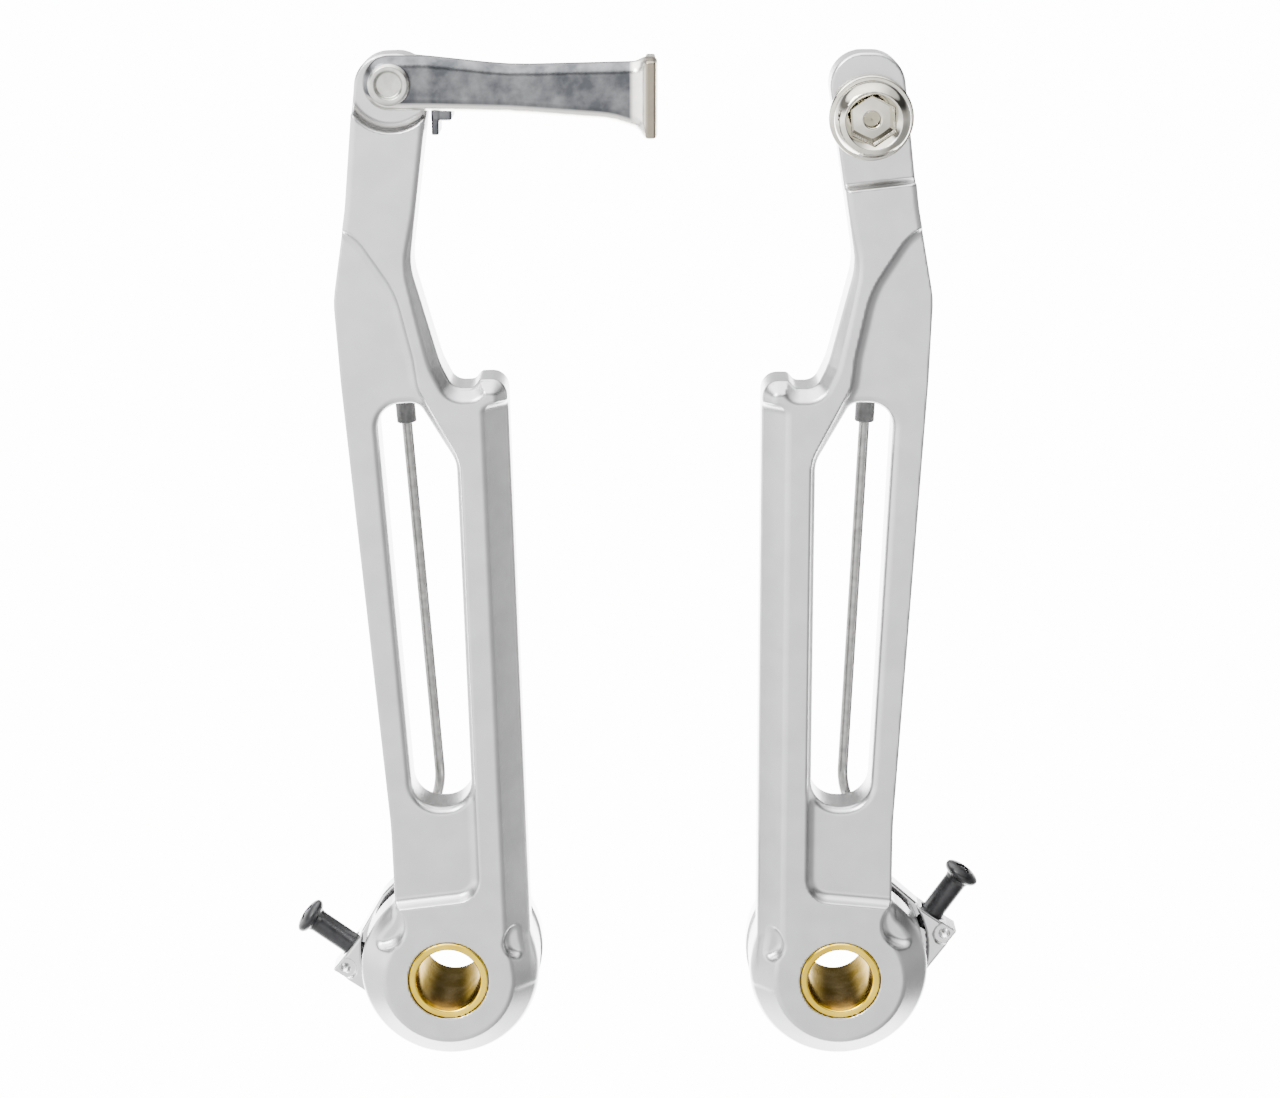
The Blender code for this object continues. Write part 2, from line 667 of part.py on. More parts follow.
def leg_u(h):
    """Where the spring's leg lies at a height above its bend."""
    share = (h - LEG_BEND[1]) / (LEG_TOP[1] - LEG_BEND[1])
    return LEG_BEND[0] + (LEG_TOP[0] - LEG_BEND[0]) * share


def peg_u():
    return leg_u(PEG_H) + SLEEVE_R + FACE_GAP + PEG_R


def peg_front():
    return ARM_BACK - 2.6 * MM


def spring_sleeve(name, side, home):
    """Low-friction sleeve on the end of the leg, where it bears on the peg."""
    foot = Vector((side * leg_u(SLEEVE_FOOT), LEG_DEPTH - STACK, SLEEVE_FOOT))
    top = Vector((side * leg_u(LEG_TOP[1]), LEG_DEPTH - STACK, LEG_TOP[1]))
    length = (top - foot).length + 1.6 * MM
    inner = WIRE_R + FIT_GAP
    lip = 0.3 * MM
    profile = [
        (inner, -length),
        (SLEEVE_R - lip, -length),
        (SLEEVE_R, lip - length),
        (SLEEVE_R, 0),
        (inner, 0),
    ]
    turn = (top - foot).to_track_quat("Z", "Y").to_matrix().to_4x4()
    finish(turned(name, home, profile, SMALL_STEPS, Matrix.Translation(foot) @ turn), SLEEVE)


def spring_peg(name, side, home):
    """Peg in the arm's back that the sleeve pushes on, with a collar that keeps it there."""
    front = peg_front()
    back = front + PEG_LENGTH
    collar = 0.6 * MM
    collar_r = PEG_R + 0.5 * MM
    profile = [
        (0, front),
        (PEG_R, front),
        (PEG_R, back - collar),
        (collar_r, back - collar),
        (collar_r, back),
        (0, back),
    ]
    finish(turned(name, home, profile, SMALL_STEPS, along_y(side * peg_u(), PEG_H)), STEEL)


def link_front():
    return LINK_SEAT - FACE_GAP - LINK_BAR


def link_back():
    return ARM_BACK + FACE_GAP + LINK_SHEET


def link_bar_outline(side, drop, lowered):
    """Bar of the link: round end on the pivot, waisted middle, deeper free end."""
    reach = LINK_REACH - LINK_SHEET / 2
    top, low = 2.2 * MM - lowered, -3.4 * MM
    corners = [
        (-LINK_END_R, LINK_END_R, LINK_END_R * 0.98),
        (4.5 * MM, LINK_END_R - lowered / 2, 6 * MM),
        (14 * MM, top, 40 * MM),
        (reach, top + 0.4 * MM, 0),
        (reach, low - drop, 0),
        (26 * MM, low - drop * 0.35, 12 * MM),
        (14 * MM, low, 40 * MM),
        (5 * MM, -LINK_END_R, 6 * MM),
        (-LINK_END_R, -LINK_END_R, LINK_END_R * 0.98),
    ]
    return [(-side * p, q) for p, q in rounded(corners)]


def box_slab(name, home, side, p_range, q_range, front, back):
    (p0, p1), (q0, q1) = p_range, q_range
    corners = [(p0, q0), (p1, q0), (p1, q1), (p0, q1)]
    return slab(name, home, [(-side * p, q) for p, q in corners], front, back)


def noodle_link(name, side, home):
    """Folded steel link: front bar, end wall with a keyhole, and back plate, with a stop tab."""
    front, back = link_front(), link_back()
    body = slab(name, home, link_bar_outline(side, 2.4 * MM, 0), front, front + LINK_BAR)
    rear = link_bar_outline(side, 0.6 * MM, 1.5 * MM)
    join(body, slab(name + "_back_plate", home, rear, back - LINK_SHEET, back))
    wall = (LINK_REACH - LINK_SHEET, LINK_REACH)
    wall_height = (-STOP_DROP, 2.7 * MM)
    join(body, box_slab(name + "_wall", home, side, wall, wall_height, front + 0.5 * MM, back - 0.01 * MM))
    tab_p = LINK_U + 2.9 * MM
    tab = (tab_p, tab_p + 0.85 * MM)
    foot = (tab_p + 0.8 * MM, tab_p + 2.4 * MM)
    tab_front = LINK_SEAT + 0.4 * MM
    inside = back - LINK_SHEET / 2
    join(body, box_slab(name + "_tab", home, side, tab, (-STOP_DROP, -2.2 * MM), tab_front, inside))
    join(body, box_slab(name + "_foot", home, side, foot, (-4.6 * MM, -2.1 * MM), tab_front, inside - 0.1 * MM))
    hole = [(-side * p, q) for p, q in disc(RIVET_R + FIT_GAP, 0, 0, SMALL_STEPS)]
    cut(body, slab(name + "_pivot_hole", home, hole, front - OVERRUN, back + OVERRUN))
    middle = (front + LINK_BAR + back - LINK_SHEET) / 2
    key = [(0, -4 * MM), (KEYHOLE_R, -4 * MM), (KEYHOLE_R, 4 * MM), (0, 4 * MM)]
    place = Matrix.Translation((-side * (LINK_REACH - LINK_SHEET / 2), middle - STACK, -1.4 * MM))
    turn = Matrix.Rotation(pi / 2, 4, "Y")
    cut(body, turned(name + "_keyhole", home, key, SMALL_STEPS, place @ turn))
    slit = (LINK_REACH - 2 * LINK_SHEET, LINK_REACH + OVERRUN)
    half = 0.9 * MM
    cut(body, box_slab(name + "_slit", home, side, slit, (0, 6 * MM), middle - half, middle + half))
    finish(body, NICKEL)


def link_rivet(name, side, home):
    """Rivet with a dished head, on which the link turns."""
    front = link_front() - FACE_GAP
    back = link_back() + FACE_GAP
    dish = 0.35 * MM
    profile = [
        (0, front - RIVET_HEAD + dish),
        (RIVET_HEAD_R * 0.62, front - RIVET_HEAD + dish),
        (RIVET_HEAD_R * 0.7, front - RIVET_HEAD),
        (RIVET_HEAD_R * 0.9, front - RIVET_HEAD),
        (RIVET_HEAD_R, front - RIVET_HEAD * 0.6),
        (RIVET_HEAD_R, front),
        (RIVET_R, front),
        (RIVET_R, back),
        (RIVET_HEAD_R, back),
        (RIVET_HEAD_R * 0.8, back + RIVET_HEAD),
        (0, back + RIVET_HEAD),
    ]
    finish(turned(name, home, profile, SMALL_STEPS, along_y(0, 0)), NICKEL)


def cable_washer(name, side, home):
    back = CABLE_SEAT - FACE_GAP
    front = back - CABLE_WASHER
    inner = BOLT_R + FIT_GAP
    edge = 0.2 * MM
    profile = [
        (inner, front),
        (CABLE_WASHER_R - edge, front),
        (CABLE_WASHER_R, front + edge),
        (CABLE_WASHER_R, back),
        (inner, back),
    ]
    finish(turned(name, home, profile, SMALL_STEPS * 2, along_y(side * CABLE_U, CABLE_H)), CHROME)


def cable_bolt(name, side, home):
    """Domed bolt with a hexagon socket."""
    seat = CABLE_SEAT - 2 * FACE_GAP - CABLE_WASHER
    top = seat - BOLT_HEAD
    rim = 0.62
    dome = [(0, top), (BOLT_HEAD_R * rim, top)]
    steps = 5
    for k in range(1, steps + 1):
        angle = pi / 2 * k / steps
        radius = BOLT_HEAD_R * (rim + (1 - rim) * sin(angle))
        dome.append((radius, top + BOLT_HEAD * 0.7 * (1 - cos(angle))))
    profile = dome + [
        (BOLT_HEAD_R, seat),
        (BOLT_R, seat),
        (BOLT_R, ARM_BACK + 0.6 * MM),
        (BOLT_R - 0.4 * MM, ARM_BACK + 1.0 * MM),
        (0, ARM_BACK + 1.0 * MM),
    ]
    body = turned(name, home, profile, SMALL_STEPS * 2, along_y(side * CABLE_U, CABLE_H))
    across = HEX_HALF / cos(pi / 6)
    socket = disc(across, side * CABLE_U, CABLE_H, 6)
    cut(body, slab(name + "_socket", home, socket, top - OVERRUN, top + HEX_DEPTH))
    finish(body, CHROME)


def side_pieces(label, side, lean, turn):
    """Everything that the two sides share; returns the arm's empty."""
    axis = (side * STUD_SPACING / 2, 0, 0)
    arm_home = empty(label + "_arm_axis", axis, side * lean)
    carrier_home = empty(label + "_carrier_axis", axis, -side * turn)
    pivot_bush(label + "_pivot_bush", arm_home)
    retaining_ring(label + "_retaining_ring", side, arm_home)
    thrust_washer(label + "_thrust_washer", carrier_home)
    spring_carrier(label + "_spring_carrier", side, carrier_home)
    spring_pin(label + "_spring_pin", side, carrier_home)
    tension_screw(label + "_tension_screw", side, carrier_home)
    spring_home = empty(label + "_spring_axis", axis, side * lean)
    finish(wire(label + "_return_spring", spring_home, spring_route(side, turn + lean), WIRE_R), STEEL)
    spring_sleeve(label + "_spring_sleeve", side, arm_home)
    spring_peg(label + "_spring_peg", side, arm_home)
    return arm_home


clear_scene()
PARTS = collection("linear_pull_brake_arms")
CUTTERS = collection("cutters")

left_home = side_pieces("left", -1, LEFT_LEAN, LEFT_TURN)
right_home = side_pieces("right", 1, RIGHT_LEAN, RIGHT_TURN)
link_seat = disc(LINK_SEAT_R, LINK_U, LINK_H)
arm("left_arm", -1, left_home, link_seat, LINK_SEAT, (LINK_U, LINK_H, RIVET_R))
arm("right_arm", 1, right_home, cable_seat_outline(), CABLE_SEAT, (CABLE_U, CABLE_H, BOLT_R))

link_lift = Matrix.Rotation(-LEFT_LEAN, 4, "Y") @ Vector((-LINK_U, 0, LINK_H))
link_home = empty("link_axis", Vector((-STUD_SPACING / 2, 0, 0)) + link_lift, 0)
noodle_link("noodle_link", -1, link_home)
link_rivet("link_rivet", -1, link_home)
cable_washer("cable_washer", 1, right_home)
cable_bolt("cable_bolt", 1, right_home)
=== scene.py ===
from math import acos, atan2, cos, hypot, pi, radians, sin, sqrt, tan

import bmesh
import bpy
import numpy as np
from mathutils import Matrix, Vector


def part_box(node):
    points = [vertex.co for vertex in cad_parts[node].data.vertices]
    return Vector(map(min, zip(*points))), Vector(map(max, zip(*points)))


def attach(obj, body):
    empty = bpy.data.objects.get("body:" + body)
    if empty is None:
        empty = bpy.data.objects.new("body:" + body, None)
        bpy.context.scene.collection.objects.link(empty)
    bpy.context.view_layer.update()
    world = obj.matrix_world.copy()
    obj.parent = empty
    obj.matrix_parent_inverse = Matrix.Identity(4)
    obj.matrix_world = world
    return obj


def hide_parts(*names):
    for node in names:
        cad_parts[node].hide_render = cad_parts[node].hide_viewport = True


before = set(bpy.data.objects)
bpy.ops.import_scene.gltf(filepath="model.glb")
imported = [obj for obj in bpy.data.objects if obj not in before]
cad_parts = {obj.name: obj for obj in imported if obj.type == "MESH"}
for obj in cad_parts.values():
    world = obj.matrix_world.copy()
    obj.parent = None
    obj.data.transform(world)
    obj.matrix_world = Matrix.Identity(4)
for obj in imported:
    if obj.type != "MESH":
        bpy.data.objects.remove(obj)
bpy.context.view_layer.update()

MM = 0.001


# ---- Places taken from the CAD nodes -------------------------------------------------

def box_centre(node):
    low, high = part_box(node)
    return (Vector(low) + Vector(high)) / 2


FRONT_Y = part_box("left_pivot_bush")[0][1]
PIVOT_X = {-1: box_centre("left_pivot_bush").x, 1: box_centre("right_pivot_bush").x}
LINK_AXIS = box_centre("link_rivet")
BOLT_AXIS = box_centre("cable_bolt")
NAMES = {-1: "left", 1: "right"}

# How far each arm and each spring carrier is turned about its pivot, from the CAD
LEAN = {-1: radians(1.8), 1: 0.0}
TURN = {-1: 0.0, 1: radians(19.2)}


# ---- Placing ---------------------------------------------------------------------------

def arm_matrix(side):
    """Arm coordinates (u outward, d back, h up) in mm to the world."""
    turn = Matrix.Rotation(side * LEAN[side], 4, "Y")
    flip = Matrix.Diagonal((side, 1, 1, 1))
    return Matrix.Translation((PIVOT_X[side], FRONT_Y, 0)) @ turn @ flip @ Matrix.Scale(MM, 4)


def carrier_matrix(side):
    turn = Matrix.Rotation(-side * TURN[side], 4, "Y")
    flip = Matrix.Diagonal((side, 1, 1, 1))
    return Matrix.Translation((PIVOT_X[side], FRONT_Y, 0)) @ turn @ flip @ Matrix.Scale(MM, 4)


# ---- Materials -------------------------------------------------------------------------

def material(name, colour, rough, metal=1.0):
    made = bpy.data.materials.new(name)
    made.use_nodes = True
    shader = made.node_tree.nodes["Principled BSDF"]
    shader.inputs["Base Color"].default_value = (*colour, 1)
    shader.inputs["Roughness"].default_value = rough
    shader.inputs["Metallic"].default_value = metal
    return made


def node(made, kind, **values):
    added = made.node_tree.nodes.new(kind)
    for key, value in values.items():
        if key in added.inputs:
            added.inputs[key].default_value = value
        else:
            setattr(added, key, value)
    return added


def link(made, source, out, target, into):
    made.node_tree.links.new(source.outputs[out], target.inputs[into])


def noise(made, scale, detail=3.0):
    place = node(made, "ShaderNodeTexCoord")
    texture = node(made, "ShaderNodeTexNoise", Scale=scale, Detail=detail)
    link(made, place, "Object", texture, "Vector")
    return texture


def ramp(made, texture, low, high, dark, light):
    colours = node(made, "ShaderNodeValToRGB")
    first, last = colours.color_ramp.elements
    first.position, last.position = low, high
    first.color = (*dark, 1)
    last.color = (*light, 1)
    link(made, texture, "Fac", colours, "Fac")
    return colours


def bump(made, texture, height, strength):
    relief = node(made, "ShaderNodeBump", Strength=strength, Distance=height)
    link(made, texture, "Fac", relief, "Height")
    link(made, relief, "Normal", made.node_tree.nodes["Principled BSDF"], "Normal")


def varied(made, scale, dark, light, detail=3.0):
    colours = ramp(made, noise(made, scale, detail), 0.35, 0.65, dark, light)
    link(made, colours, "Color", made.node_tree.nodes["Principled BSDF"], "Base Color")


def rise(made, source, out, low, high):
    """Value that climbs from 0 at low to 1 at high."""
    climb = node(made, "ShaderNodeMapRange")
    climb.inputs["From Min"].default_value = low
    climb.inputs["From Max"].default_value = high
    link(made, source, out, climb, "Value")
    return climb


# Sockets of a mix node that is set to colours
MIX_SHARE, MIX_FIRST, MIX_SECOND, MIX_OUT = 0, 6, 7, 2


def mixed(made, share, out, first, second):
    """Mix of the colours of two ramps."""
    mix = node(made, "ShaderNodeMix", data_type="RGBA")
    link(made, share, out, mix, MIX_SHARE)
    link(made, first, "Color", mix, MIX_FIRST)
    link(made, second, "Color", mix, MIX_SECOND)
    return mix


def aluminium():
    made = material("satin_aluminium", (0.55, 0.55, 0.56), 0.3)
    varied(made, 260.0, (0.53, 0.53, 0.535), (0.58, 0.58, 0.585), detail=2.0)
    bump(made, noise(made, 9000.0, 2.0), 0.00001, 0.15)
    return made


def brass():
    """Bright rim, with painted shade that turns it darker and browner down the bore."""
    made = material("turned_brass", (0.5, 0.3, 0.06), 0.2)
    shader = made.node_tree.nodes["Principled BSDF"]
    place = node(made, "ShaderNodeTexCoord")
    split = node(made, "ShaderNodeSeparateXYZ")
    link(made, place, "Object", split, "Vector")
    depth = rise(made, split, "Y", FRONT_Y + 0.0003, FRONT_Y + 0.0012)
    texture = noise(made, 420.0)
    rim = ramp(made, texture, 0.3, 0.7, (0.66, 0.44, 0.03), (0.82, 0.58, 0.06))
    # Painted shade: from 0.3 mm to 1.2 mm behind the front face the bore is painted dark brown
    bore = ramp(made, texture, 0.35, 0.65, (0.17, 0.125, 0.06), (0.27, 0.21, 0.12))
    shader.inputs["Specular Tint"].default_value = (0.55, 0.48, 0.33, 1)
    blend = mixed(made, depth, "Result", rim, bore)
    link(made, blend, MIX_OUT, shader, "Base Color")
    return made


def alloy():
    made = material("polished_alloy", (0.72, 0.72, 0.72), 0.2)
    varied(made, 300.0, (0.68, 0.68, 0.68), (0.76, 0.76, 0.76))
    return made


def spring_steel():
    made = material("spring_steel", (0.33, 0.33, 0.32), 0.34)
    varied(made, 900.0, (0.26, 0.26, 0.25), (0.38, 0.38, 0.37))
    return made


def black_steel():
    made = material("black_oxide", (0.01, 0.01, 0.011), 0.32, 0.2)
    varied(made, 1500.0, (0.006, 0.006, 0.007), (0.015, 0.015, 0.017))
    return made


def nickel():
    """Mottled grey plate, with painted highlights on its lower edges and at the bend by its free
    end.
    """
    made = material("mottled_nickel", (0.14, 0.14, 0.145), 0.28)
    shader = made.node_tree.nodes["Principled BSDF"]
    texture = noise(made, 420.0, 5.0)
    plate = ramp(made, texture, 0.36, 0.66, (0.065, 0.068, 0.075), (0.165, 0.167, 0.173))
    place = node(made, "ShaderNodeTexCoord")
    split = node(made, "ShaderNodeSeparateXYZ")
    link(made, place, "Object", split, "Vector")
    along = rise(made, split, "X", LINK_AXIS.x + 0.027, LINK_AXIS.x + 0.032)
    where = node(made, "ShaderNodeValToRGB")
    first, last = where.color_ramp.elements
    first.position, last.position = 0.2, 0.3
    link(made, along, "Result", where, "Fac")
    # Painted highlight: from about 28.5 mm along the link the bend is painted near white, turning
    # tan past 30 mm
    end = node(made, "ShaderNodeValToRGB")
    first, last = end.color_ramp.elements
    first.position, last.position = 0.5, 0.6
    first.color, last.color = (0.9, 0.88, 0.82, 1), (0.25, 0.22, 0.17, 1)
    link(made, along, "Result", end, "Fac")
    blend = mixed(made, where, "Color", plate, end)
    # Painted highlight: faces that look down are painted pale, as the bright lower edges
    facing = node(made, "ShaderNodeSeparateXYZ")
    link(made, place, "Normal", facing, "Vector")
    under = rise(made, facing, "Z", -0.3, -0.55)
    edge = node(made, "ShaderNodeMix", data_type="RGBA")
    link(made, under, "Result", edge, MIX_SHARE)
    link(made, blend, MIX_OUT, edge, MIX_FIRST)
    edge.inputs[MIX_SECOND].default_value = (0.8, 0.79, 0.74, 1)
    link(made, edge, MIX_OUT, shader, "Base Color")
    bump(made, noise(made, 700.0, 3.0), 0.00012, 0.5)
    return made


def rivet_steel():
    made = material("pale_nickel", (0.5, 0.5, 0.47), 0.3)
    varied(made, 900.0, (0.44, 0.44, 0.41), (0.56, 0.56, 0.53))
    return made


def chrome():
    made = material("chrome", (0.52, 0.5, 0.43), 0.06)
    varied(made, 300.0, (0.46, 0.44, 0.37), (0.58, 0.56, 0.5))
    return made


def nylon():
    made = material("grey_nylon", (0.1, 0.1, 0.1), 0.5, 0.0)
    varied(made, 800.0, (0.08, 0.08, 0.08), (0.13, 0.13, 0.13))
    return made


# ---- Distance fields, in a piece's own coordinates and mm ----------------------------------

def arc_points(corners, step=radians(5)):
    """Outline through (x, z, radius) corners, each corner an arc."""
    points = []
    for i, (x, z, radius) in enumerate(corners):
        here = Vector((x, z))
        before = (Vector(corners[i - 1][:2]) - here).normalized()
        after = (Vector(corners[(i + 1) % len(corners)][:2]) - here).normalized()
        if radius == 0:
            points.append((x, z))
            continue
        half = acos(max(-1, min(1, before.dot(after)))) / 2
        reach = radius / tan(half)
        centre = here + (before + after).normalized() * (radius / sin(half))
        start = here + before * reach - centre
        end = here + after * reach - centre
        first = atan2(start.y, start.x)
        sweep = (atan2(end.y, end.x) - first + pi) % (2 * pi) - pi
        count = max(2, round(abs(sweep) / step))
        for k in range(count + 1):
            angle = first + sweep * k / count
            points.append((centre.x + radius * cos(angle), centre.y + radius * sin(angle)))
    return np.array(points)


def outline_distance(x, z, points):
    """Signed distance to a closed outline, negative inside."""
    x, z = np.broadcast_arrays(x, z)
    nearest = np.full(x.shape, np.inf)
    inside = np.zeros(x.shape, bool)
    for (x0, z0), (x1, z1) in zip(points, np.roll(points, -1, axis=0)):
        dx, dz = x1 - x0, z1 - z0
        length = dx * dx + dz * dz
        if length == 0:
            continue
        share = np.clip(((x - x0) * dx + (z - z0) * dz) / length, 0, 1)
        gap = (x - x0 - share * dx) ** 2 + (z - z0 - share * dz) ** 2
        nearest = np.minimum(nearest, gap)
        if dz != 0:
            inside ^= ((z0 > z) != (z1 > z)) & (x < x0 + dx * (z - z0) / dz)
    return np.where(inside, -1, 1) * np.sqrt(nearest)


def both(a, b, radius=0.0):
    """Overlap of two fields with its edge rounded."""
    hard = np.maximum(a, b)
    soft = np.hypot(np.maximum(a + radius, 0), np.maximum(b + radius, 0))
    return np.minimum(-radius, hard) + soft


def either(a, b, radius=0.0):
    """Union of two fields with its corner filleted."""
    hard = np.minimum(a, b)
    soft = np.hypot(np.maximum(radius - a, 0), np.maximum(radius - b, 0))
    return np.maximum(radius, hard) - soft


def without(a, b, radius=0.0):
    return both(a, -b, radius)


def between(value, low, high):
    return np.maximum(low - value, value - high)


def block(x, y, z, x_range, y_range, z_range, radius):
    flat = both(between(x, *x_range), between(z, *z_range), radius)
    return both(flat, between(y, *y_range), radius)


def ease(value, low, high):
    share = np.clip((value - low) / (high - low), 0, 1)
    return share * share * (3 - 2 * share)


def surface_net(values, low, pitch):
    """Quads through the cells where the field changes sign."""
    inside = values < 0
    cells = np.zeros(tuple(n - 1 for n in values.shape), bool)
    total = np.zeros(cells.shape + (3,), np.float32)
    count = np.zeros(cells.shape, np.float32)

    def part(array, corner):
        return array[tuple(slice(c, c + n) for c, n in zip(corner, cells.shape))]

    for a in [(i, j, k) for i in (0, 1) for j in (0, 1) for k in (0, 1)]:
        for axis in range(3):
            if a[axis]:
                continue
            b = tuple(c + (n == axis) for n, c in enumerate(a))
            hit = part(inside, a) != part(inside, b)
            va, vb = part(values, a)[hit], part(values, b)[hit]
            for n in range(3):
                total[..., n][hit] += a[n] + (va / (va - vb) if n == axis else 0)
            count += hit
            cells |= hit
    where = np.argwhere(cells)
    index = np.full(cells.shape, -1)
    index[cells] = np.arange(len(where))
    points = low + pitch * (where + total[cells] / count[cells][:, None])
    quads = []
    for axis in range(3):
        p, q = ((1, 2), (2, 0), (0, 1))[axis]
        ahead = tuple(slice(1, None) if n == axis else slice(None) for n in range(3))
        behind = tuple(slice(None, -1) if n == axis else slice(None) for n in range(3))
        at = np.argwhere(inside[behind] != inside[ahead])
        keep = (at[:, p] > 0) & (at[:, q] > 0)
        at = at[keep & (at[:, p] < cells.shape[p]) & (at[:, q] < cells.shape[q])]
        out = inside[behind][tuple(at.T)]
        ring = []
        for dp, dq in ((-1, -1), (0, -1), (0, 0), (-1, 0)):
            cell = at.copy()
            cell[:, p] += dp
            cell[:, q] += dq
            ring.append(index[tuple(cell.T)])
        ring = np.array(ring).T
        ring[~out] = ring[~out][:, ::-1]
        quads.append(ring)
    return points, np.concatenate(quads)


def slope(field, points):
    """Outward direction of a field at points."""
    reach = 0.04
    columns = []
    for n in range(3):
        moved = np.zeros(3)
        moved[n] = reach
        columns.append(field(*(points + moved).T) - field(*(points - moved).T))
    gradient = np.array(columns).T
    return gradient / np.maximum(np.linalg.norm(gradient, axis=1), 1e-9)[:, None]


def show(obj, body, replaced, made):
    obj.data.materials.clear()
    obj.data.materials.append(made)
    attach(obj, body)
    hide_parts(replaced)


def field_piece(name, field, low, high, place, pitch=0.25, share=0.3):
    """Mesh of a field on a grid, thinned to a share of its faces, with the field's normals."""
    low, high = np.array(low, float), np.array(high, float)
    axes = [np.arange(low[n], high[n] + pitch, pitch) for n in range(3)]
    grid = np.meshgrid(*axes, indexing="ij", sparse=True)
    values = np.broadcast_to(field(*grid), tuple(len(a) for a in axes))
    points, quads = surface_net(values, low, pitch)
    mesh = bpy.data.meshes.new(name)
    mesh.from_pydata(points.tolist(), [], quads.tolist())
    obj = bpy.data.objects.new("fine_" + name, mesh)
    bpy.context.scene.collection.objects.link(obj)
    thin = obj.modifiers.new("thin", "DECIMATE")
    thin.ratio = share
    graph = bpy.context.evaluated_depsgraph_get()
    mesh = bpy.data.meshes.new_from_object(obj.evaluated_get(graph))
    obj.modifiers.clear()
    obj.data = mesh
    flat = np.empty(3 * len(mesh.vertices))
    mesh.vertices.foreach_get("co", flat)
    points = flat.reshape(-1, 3)
    for _ in range(2):
        step = np.clip(field(*points.T), -pitch, pitch)
        points = points - slope(field, points) * step[:, None]
    normals = slope(field, points)
    mesh.vertices.foreach_set("co", points.ravel())
    if place.determinant() < 0:
        mesh.flip_normals()
    mesh.transform(place)
    turn = np.array(place.to_3x3()) / MM
    mesh.shade_smooth()
    mesh.normals_split_custom_set_from_vertices((normals @ turn.T).tolist())
    return obj


def turned(name, profile, place, steps, sweep=2 * pi):
    """Closed profile of (radius, height) points, turned about the local Z axis."""
    whole = sweep > 2 * pi - 0.01
    rows = steps if whole else steps + 1
    points = [
        (r * cos(sweep * k / steps), r * sin(sweep * k / steps), z)
        for k in range(rows)
        for r, z in profile
    ]
    count = len(profile)
    faces = []
    for k in range(steps):
        here, ahead = k * count, ((k + 1) % rows) * count
        for i in range(count):
            j = (i + 1) % count
            faces.append((here + i, ahead + i, ahead + j, here + j))
    if not whole:
        faces.append(tuple(reversed(range(count))))
        faces.append(tuple((rows - 1) * count + i for i in range(count)))
    mesh = bpy.data.meshes.new(name)
    mesh.from_pydata(points, [], faces)
    mesh.transform(place)
    bm = bmesh.new()
    bm.from_mesh(mesh)
    bmesh.ops.remove_doubles(bm, verts=bm.verts, dist=1e-8)
    bmesh.ops.dissolve_degenerate(bm, edges=bm.edges, dist=1e-9)
    bmesh.ops.recalc_face_normals(bm, faces=bm.faces)
    bm.to_mesh(mesh)
    bm.free()
    mesh.shade_smooth()
    mesh.set_sharp_from_angle(angle=radians(35))
    obj = bpy.data.objects.new("fine_" + name, mesh)
    bpy.context.scene.collection.objects.link(obj)
    return obj


def softened(profile, radius, steps=4):
    """Profile with every corner rounded as far as its sides allow."""
    corners = []
    for i, (r, z) in enumerate(profile):
        before = hypot(r - profile[i - 1][0], z - profile[i - 1][1])
        after = profile[(i + 1) % len(profile)]
        after = hypot(r - after[0], z - after[1])
        fit = min(radius, before * 0.4, after * 0.4)
        corners.append((r, z, fit if r > 0.01 else 0))
    return [tuple(p) for p in arc_points(corners, radians(90 / steps))]


# ---- Arm ---------------------------------------------------------------------------------

RIB_U = -10.4
RIB_TOP = 76.0
RIB_CHAMFER = 3.1
SLOT_TOP = RIB_TOP - 2.7
SHOULDER_U = 9.85
SHOULDER_H = RIB_TOP + 10.0
ARM_HEIGHT = 114.9
ARM_BACK = 8.0
POCKET_DEPTH = 1.25
POCKET_FOOT = 10.6
STACK = 15.2
BOSS_FACE_R = 8.05
BOSS_R = 11.2
BOSS_CONE = 3.6
BOSS_DEPTH = 11.5
BUSH_R = 4.95
BUSH_BORE = 4.0
ARM_BORE = BUSH_R + 0.08
STEM_R = 6.05
WELL_R = 10.2
WELL_FLOOR = 4.8
WINDOW_ANGLE = radians(52)
WINDOW_HALF = 3.7
LINK_PIN = (1.8, ARM_HEIGHT - 3.3)
LINK_HOLE_R = 2.05
LINK_SEAT = 2.3
LINK_SEAT_R = 5.6
BOLT_PIN = (2.1, ARM_HEIGHT - 7.5)
BOLT_HOLE_R = 2.65
CABLE_SEAT = 2.5
CABLE_SEAT_DROP = 8.3
CABLE_SEAT_SLOPE = 0.1125


def arm_outline():
    dip = RIB_TOP - 1.0
    crown_u = RIB_U + 3.2
    return arc_points(
        [
            (RIB_U, -1.3, 0),
            (6.3, -1.3, 0),
            (6.3, 20, 40),
            (SHOULDER_U - 0.35, SHOULDER_H - 10, 40),
            (SHOULDER_U, SHOULDER_H, 10),
            (5.75 + 2.1, SHOULDER_H + 11, 30),
            (5.75, ARM_HEIGHT, 3.9),
            (-3.35, ARM_HEIGHT, 3.9),
            (0.5, SHOULDER_H + 4.0, 9),
            (-2.55, RIB_TOP + 2.0, 10),
            (-4.0, dip, 1.8),
            (crown_u + 0.9, dip, 0.9),
            (crown_u, RIB_TOP, 0.6),
            (RIB_U, RIB_TOP, 2.0),
        ]
    )


def pocket_outline():
    outside = SHOULDER_U + 3
    return arc_points(
        [
            (outside, POCKET_FOOT - 1.6, 0),
            (outside, 96.8, 0),
            (SHOULDER_U - 3.2, 93.8, 6),
            (2.3, SHOULDER_H + 1.0, 12),
            (0.6, 79, 6),
            (0.2, 75.4, 4),
            (-4.4, RIB_TOP - 9.5, 6),
            (-4.4, POCKET_FOOT, 3),
        ]
    )


